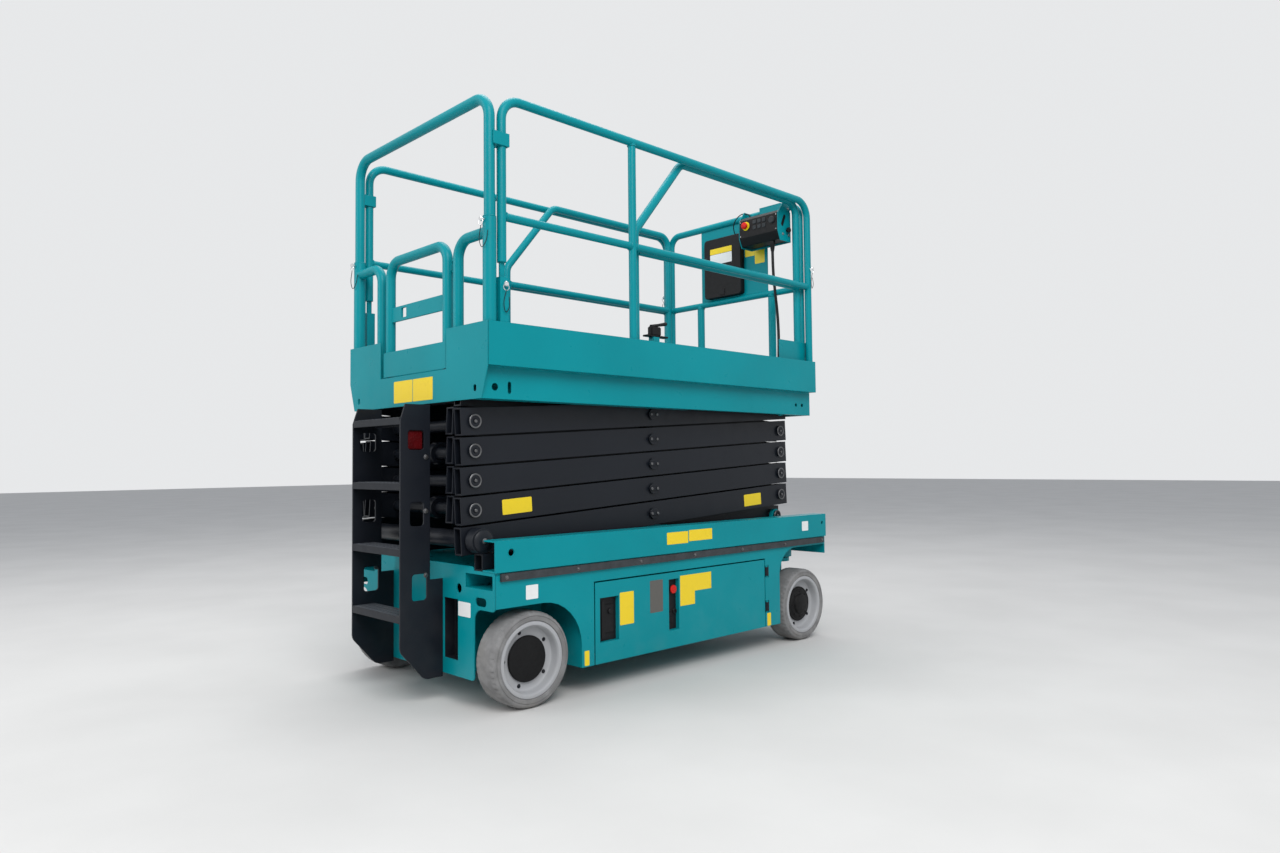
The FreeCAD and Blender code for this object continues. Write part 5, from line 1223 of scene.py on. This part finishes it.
# Back from the cradle's front face, above the box's bottom, length, width, tilt
CRADLE_SLOT = (-0.060, 0.110, 0.076, 0.024, 65.0)
CHEEK_FACE_Y = -0.4653
HOOK_Y = (-0.400, -0.250)
UPPER_STOP_AT = (CONTROL_REAR, -0.238, 2.330)
UPPER_STOP = [(0, 0), (0.012, 0), (0.012, 0.012), (0.0180, 0.013), (0.0200, 0.017),
              (0.0190, 0.022), (0.0140, 0.0255), (0, 0.0262)]
UPPER_COLLAR = [(0, 0), (0.0255, 0), (0.0255, 0.0022), (0.0235, 0.0032), (0.0125, 0.0032),
                (0.0125, 0.0005), (0, 0.0005)]
KEYS_Y, KEYS_Z = (-0.300, -0.334, -0.368), (2.312, 2.344)
DIAL_AT = (CONTROL_REAR, -0.425, 2.330)
DIAL = [(0, 0), (0.0190, 0), (0.0190, 0.010), (0.0165, 0.0125), (0, 0.0125)]
CHEEK_BOLTS = ((0.930, 2.250), (0.985, 2.250), (0.980, 2.400))
KNOB_AT = (0.965, CHEEK_FACE_Y, 2.275)
KNOB = [(0, 0), (0.0060, 0), (0.0060, 0.008), (0.0150, 0.010), (0.0165, 0.015), (0.0150, 0.021),
        (0, 0.022)]
CONTROL_LOOP = ((0.945, -0.230, 2.385), (0.940, -0.215, 2.412), (0.935, -0.170, 2.425),
                (0.940, -0.120, 2.405), (0.965, -0.080, 2.375), (1.000, -0.060, 2.345),
                (1.034, -0.055, 2.325))
MANUAL_Y, MANUAL_Z, MANUAL_DEPTH, MANUAL_CORNER = (-0.100, 0.188), (1.976, 2.342), 0.036, 0.020


def make_control_box():
    """The box, and the cradle that hooks it over the front rail."""
    back_low = (CONTROL_REAR + CONTROL_CHIN[0], CONTROL_BOTTOM)
    p = Piece("control_housing", "extension", "control_plastic")
    p.plate(rounded([
        (*back_low, 0.006), (CONTROL_BACK, CONTROL_BOTTOM, 0.004),
        (CONTROL_BACK, CONTROL_TOP, 0.004), (CONTROL_REAR + CONTROL_BROW, CONTROL_TOP, 0.006),
        (CONTROL_REAR, CONTROL_TOP - CONTROL_BROW, 0.006),
        (CONTROL_REAR, CONTROL_BOTTOM + CONTROL_CHIN[1], 0.006),
    ], 4), side_on(CONTROL_Y[0]), Y_AXIS * (CONTROL_Y[1] - CONTROL_Y[0]))
    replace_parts(p.done(), "control_box")
    c = Piece("control_cradle", "extension", "teal_paint")
    sheet, x0, low = CRADLE_SHEET, CONTROL_BACK + SEAT_GAP, CONTROL_BOTTOM - CRADLE_LIP
    over = EXT_TOP_Z + EXT_TUBE + SEAT_GAP
    beyond = EXT_FRONT_X + EXT_TUBE + SEAT_GAP
    y0, y1 = widened(CONTROL_Y, SEAT_GAP + sheet)
    cheek = [
        (back_low[0], low), (x0, low), (x0, CONTROL_TOP + CRADLE_EAR[1]),
        (x0 + sheet - CRADLE_EAR[0], CONTROL_TOP + CRADLE_EAR[1]),
        (CONTROL_REAR, CONTROL_TOP - CONTROL_BROW),
        (CONTROL_REAR, CONTROL_BOTTOM + CONTROL_CHIN[1]),
    ]
    x, z, length, width, tilt = CRADLE_SLOT
    c.plate(cheek, side_on(y0), Y_AXIS * sheet,
            [slot(x0 + x, CONTROL_BOTTOM + z, length, width, tilt)])
    c.plate(cheek, side_on(y1 - sheet), Y_AXIS * sheet)
    c.box(x0, x0 + sheet, y0, y1, low, CONTROL_TOP)
    c.box(x0, x0 + sheet, *HOOK_Y, CONTROL_TOP, over)
    c.box(x0, beyond + sheet, *HOOK_Y, over, over + sheet)
    c.box(beyond, beyond + sheet, *HOOK_Y, EXT_TOP_Z, over)
    c.done()


def upper_controls():
    """The stop button on its yellow ring, the keys and the dial, the screws, the cradle's knob
    and a thin wire over the box."""
    out = -X_AXIS
    stop = Piece("stop_button", "extension", "control_plastic", RED_PLASTIC)
    stop.turned(UPPER_STOP_AT, out, UPPER_STOP, 36)
    stop.done()
    collar = Piece("stop_collar", "extension", "black_plastic", YELLOW_PLASTIC)
    collar.turned(UPPER_STOP_AT, out, UPPER_COLLAR, 36)
    collar.done()
    keys = Piece("control_keys", "extension", "black_plastic", STRIP_RUBBER)
    for y in KEYS_Y:
        for z in KEYS_Z:
            keys.slab(card(0.024, 0.022), (CONTROL_REAR, y, z), -Y_AXIS, Z_AXIS, 0.004, 0.0012)
    keys.turned(DIAL_AT, out, DIAL, 30)
    keys.done()
    screws = Piece("control_screws", "extension", "machine_grey")
    for y in (-0.452, -0.198):
        for z in (2.276, 2.357):
            screws.bolt((CONTROL_REAR, y, z), out, 0.0035, False)
    for x, z in CHEEK_BOLTS:
        screws.bolt((x, CHEEK_FACE_Y, z), -Y_AXIS, 0.0060)
    screws.done()
    knob = Piece("cradle_knob", "extension", "black_plastic")
    knob.turned(KNOB_AT, -Y_AXIS, KNOB, 10)
    knob.done(sharp=60.0)
    loop = Piece("control_loop", "extension", "black_plastic")
    loop.bar(smooth_line(CONTROL_LOOP), 0.003, 8)
    loop.done()


def make_manual_box():
    """The case for the manual on the front panel, with its lid and clasp."""
    p = Piece("manual_case", "extension", "black_plastic")
    back, middle = PANEL_BACK - SEAT_GAP, sum(MANUAL_Y) / 2
    wide, high = MANUAL_Y[1] - MANUAL_Y[0], MANUAL_Z[1] - MANUAL_Z[0]
    at = (back, middle, sum(MANUAL_Z) / 2)
    p.slab(card(wide, high, MANUAL_CORNER), at, -Y_AXIS, Z_AXIS, MANUAL_DEPTH, 0.004)
    p.slab(card(wide - 0.008, high - 0.008, MANUAL_CORNER - 0.004),
           (back - MANUAL_DEPTH * 0.42, *at[1:]), -Y_AXIS, Z_AXIS, 0.001)
    p.block((back - MANUAL_DEPTH - 0.004, back - MANUAL_DEPTH + 0.004),
            (middle - 0.02, middle + 0.02), (MANUAL_Z[0] + 0.010, MANUAL_Z[0] + 0.048), 0.002)
    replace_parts(p.done(), "manual_box")


# Cable

CABLE_ROUTE = [(0.925, -0.395, 2.178), (0.925, -0.395, 2.060), (0.933, -0.402, 1.930),
               (0.939, -0.413, 1.800), (0.934, -0.422, 1.670), (0.925, -0.425, 1.540),
               (0.925, -0.425, 1.394)]
CABLE_DIAMETER = 0.016
BOOT = [(0, 0), (0.0170, 0), (0.0170, 0.018), (0.0140, 0.026), (0.0115, 0.046), (0.0092, 0.058),
        (0, 0.058)]
BOOT_STARTS = (2.220, 1.3745)


def make_cable():
    """The control box's cable, from its gland down to the one on the deck."""
    curve = bpy.data.curves.new("control_cord", "CURVE")
    curve.dimensions = "3D"
    curve.bevel_depth = CABLE_DIAMETER / 2
    curve.bevel_resolution = 4
    curve.resolution_u = 12
    curve.use_fill_caps = True
    spline = curve.splines.new("NURBS")
    spline.points.add(len(CABLE_ROUTE) - 1)
    for point, (x, y, z) in zip(spline.points, CABLE_ROUTE):
        point.co = (x + WHEELBASE_X, y, z, 1)
    spline.order_u = 3
    spline.use_endpoint_u = True
    curve.materials.append(BLACK_PLASTIC)
    cable = bpy.data.objects.new("control_cord", curve)
    bpy.context.scene.collection.objects.link(cable)
    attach(cable, "extension")
    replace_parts(cable, "control_cable")
    x, y, z = CABLE_ROUTE[0]
    boots = Piece("cable_boots", "extension", "black_plastic")
    for (x, y, _), start, way in zip((CABLE_ROUTE[0], CABLE_ROUTE[-1]), BOOT_STARTS, (-1, 1)):
        boots.turned((x, y, start), Z_AXIS * way, BOOT)
    boots.done()


# Stage

def make_camera():
    forward = Vector((math.cos(CAMERA_YAW) * math.cos(CAMERA_PITCH),
                      math.sin(CAMERA_YAW) * math.cos(CAMERA_PITCH), math.sin(CAMERA_PITCH)))
    level = Vector((math.sin(CAMERA_YAW), -math.cos(CAMERA_YAW), 0))
    up = level.cross(forward)
    right = level * math.cos(CAMERA_ROLL) + up * math.sin(CAMERA_ROLL)
    up = up * math.cos(CAMERA_ROLL) - level * math.sin(CAMERA_ROLL)
    data = bpy.data.cameras.new("camera")
    data.sensor_width = SENSOR
    data.lens = FOCAL_PIXELS / IMAGE_WIDTH * SENSOR
    data.clip_end = 200
    camera = bpy.data.objects.new("camera", data)
    camera.matrix_world = Matrix((right, up, -forward)).transposed().to_4x4()
    camera.location = CAMERA_AT
    bpy.context.scene.collection.objects.link(camera)
    bpy.context.scene.camera = camera


FLOOR_COLOUR, FLOOR_HALF = (0.62, 0.61, 0.59), 40


def make_floor():
    s = Shader("floor")
    cloud = s.spread(s.noise(1.3, 5.0), 0.35, 0.65)
    s.colour(s.mix(cloud, shaded(FLOOR_COLOUR, 0.94), FLOOR_COLOUR))
    s.set("Roughness", 0.85)
    mesh = bpy.data.meshes.new("floor")
    corners = rectangle(-FLOOR_HALF, FLOOR_HALF, -FLOOR_HALF, FLOOR_HALF)
    mesh.from_pydata([(x, y, 0) for x, y in corners], [], [(0, 1, 2, 3)])
    mesh.materials.append(s.material)
    floor = bpy.data.objects.new("floor", mesh)
    bpy.context.scene.collection.objects.link(floor)


def area_light(name, at, size, power):
    data = bpy.data.lights.new(name, "AREA")
    data.shape = "SQUARE"
    data.size = size
    data.energy = power
    light = bpy.data.objects.new(name, data)
    light.location = at
    light.rotation_mode = "QUATERNION"
    light.rotation_quaternion = (Vector((0, 0, 1)) - Vector(at)).to_track_quat("-Z", "Y")
    bpy.context.scene.collection.objects.link(light)


def make_lights():
    """Three area lights, and a world that looks pale but lights less than it looks."""
    world = bpy.data.worlds.new("world")
    bpy.context.scene.world = world
    world.use_nodes = True
    tree = world.node_tree
    back = tree.nodes["Background"]
    back.inputs["Color"].default_value = (0.86, 0.91, 1.0, 1)
    back.inputs["Strength"].default_value = 0.55
    seen = tree.nodes.new("ShaderNodeBackground")
    seen.inputs["Color"].default_value = (0.80, 0.81, 0.82, 1)
    rays = tree.nodes.new("ShaderNodeLightPath")
    choose = tree.nodes.new("ShaderNodeMixShader")
    shown = rays.outputs["Is Camera Ray"]
    for kind in ("Is Glossy Ray", "Is Transmission Ray"):
        either = tree.nodes.new("ShaderNodeMath")
        either.operation = "MAXIMUM"
        tree.links.new(shown, either.inputs[0])
        tree.links.new(rays.outputs[kind], either.inputs[1])
        shown = either.outputs[0]
    tree.links.new(shown, choose.inputs["Fac"])
    tree.links.new(back.outputs[0], choose.inputs[1])
    tree.links.new(seen.outputs[0], choose.inputs[2])
    tree.links.new(choose.outputs[0], tree.nodes["World Output"].inputs["Surface"])
    area_light("key", (-3.5, -6.0, 6.5), 5.0, 520)
    area_light("fill", (-6.5, 2.5, 4.0), 4.0, 160)
    area_light("top", (1.0, 1.0, 8.0), 5.0, 260)


make_camera()
make_cable()
make_floor()
make_lights()
dress_nodes()
make_chassis()
make_trays()
make_ladder()
make_platform()
make_platform_rails()
make_rear_rails()
make_gate()
make_extension()
make_extension_rails()
make_control_box()
make_manual_box()
make_wheels()
arm_pins()
make_labels()
chassis_details()
tread_plate("platform_tread", "platform", (-1.125, 1.055), (-0.450, 0.450), FLOOR_TOP)
tread_plate("extension_tread", "extension", (-0.286, 1.055), (-0.517, 0.517), EXT_FLOOR_TOP)
rail_welds()
latch_pins()
ground_controls()
upper_controls()

bpy.context.scene.view_settings.view_transform = "Standard"
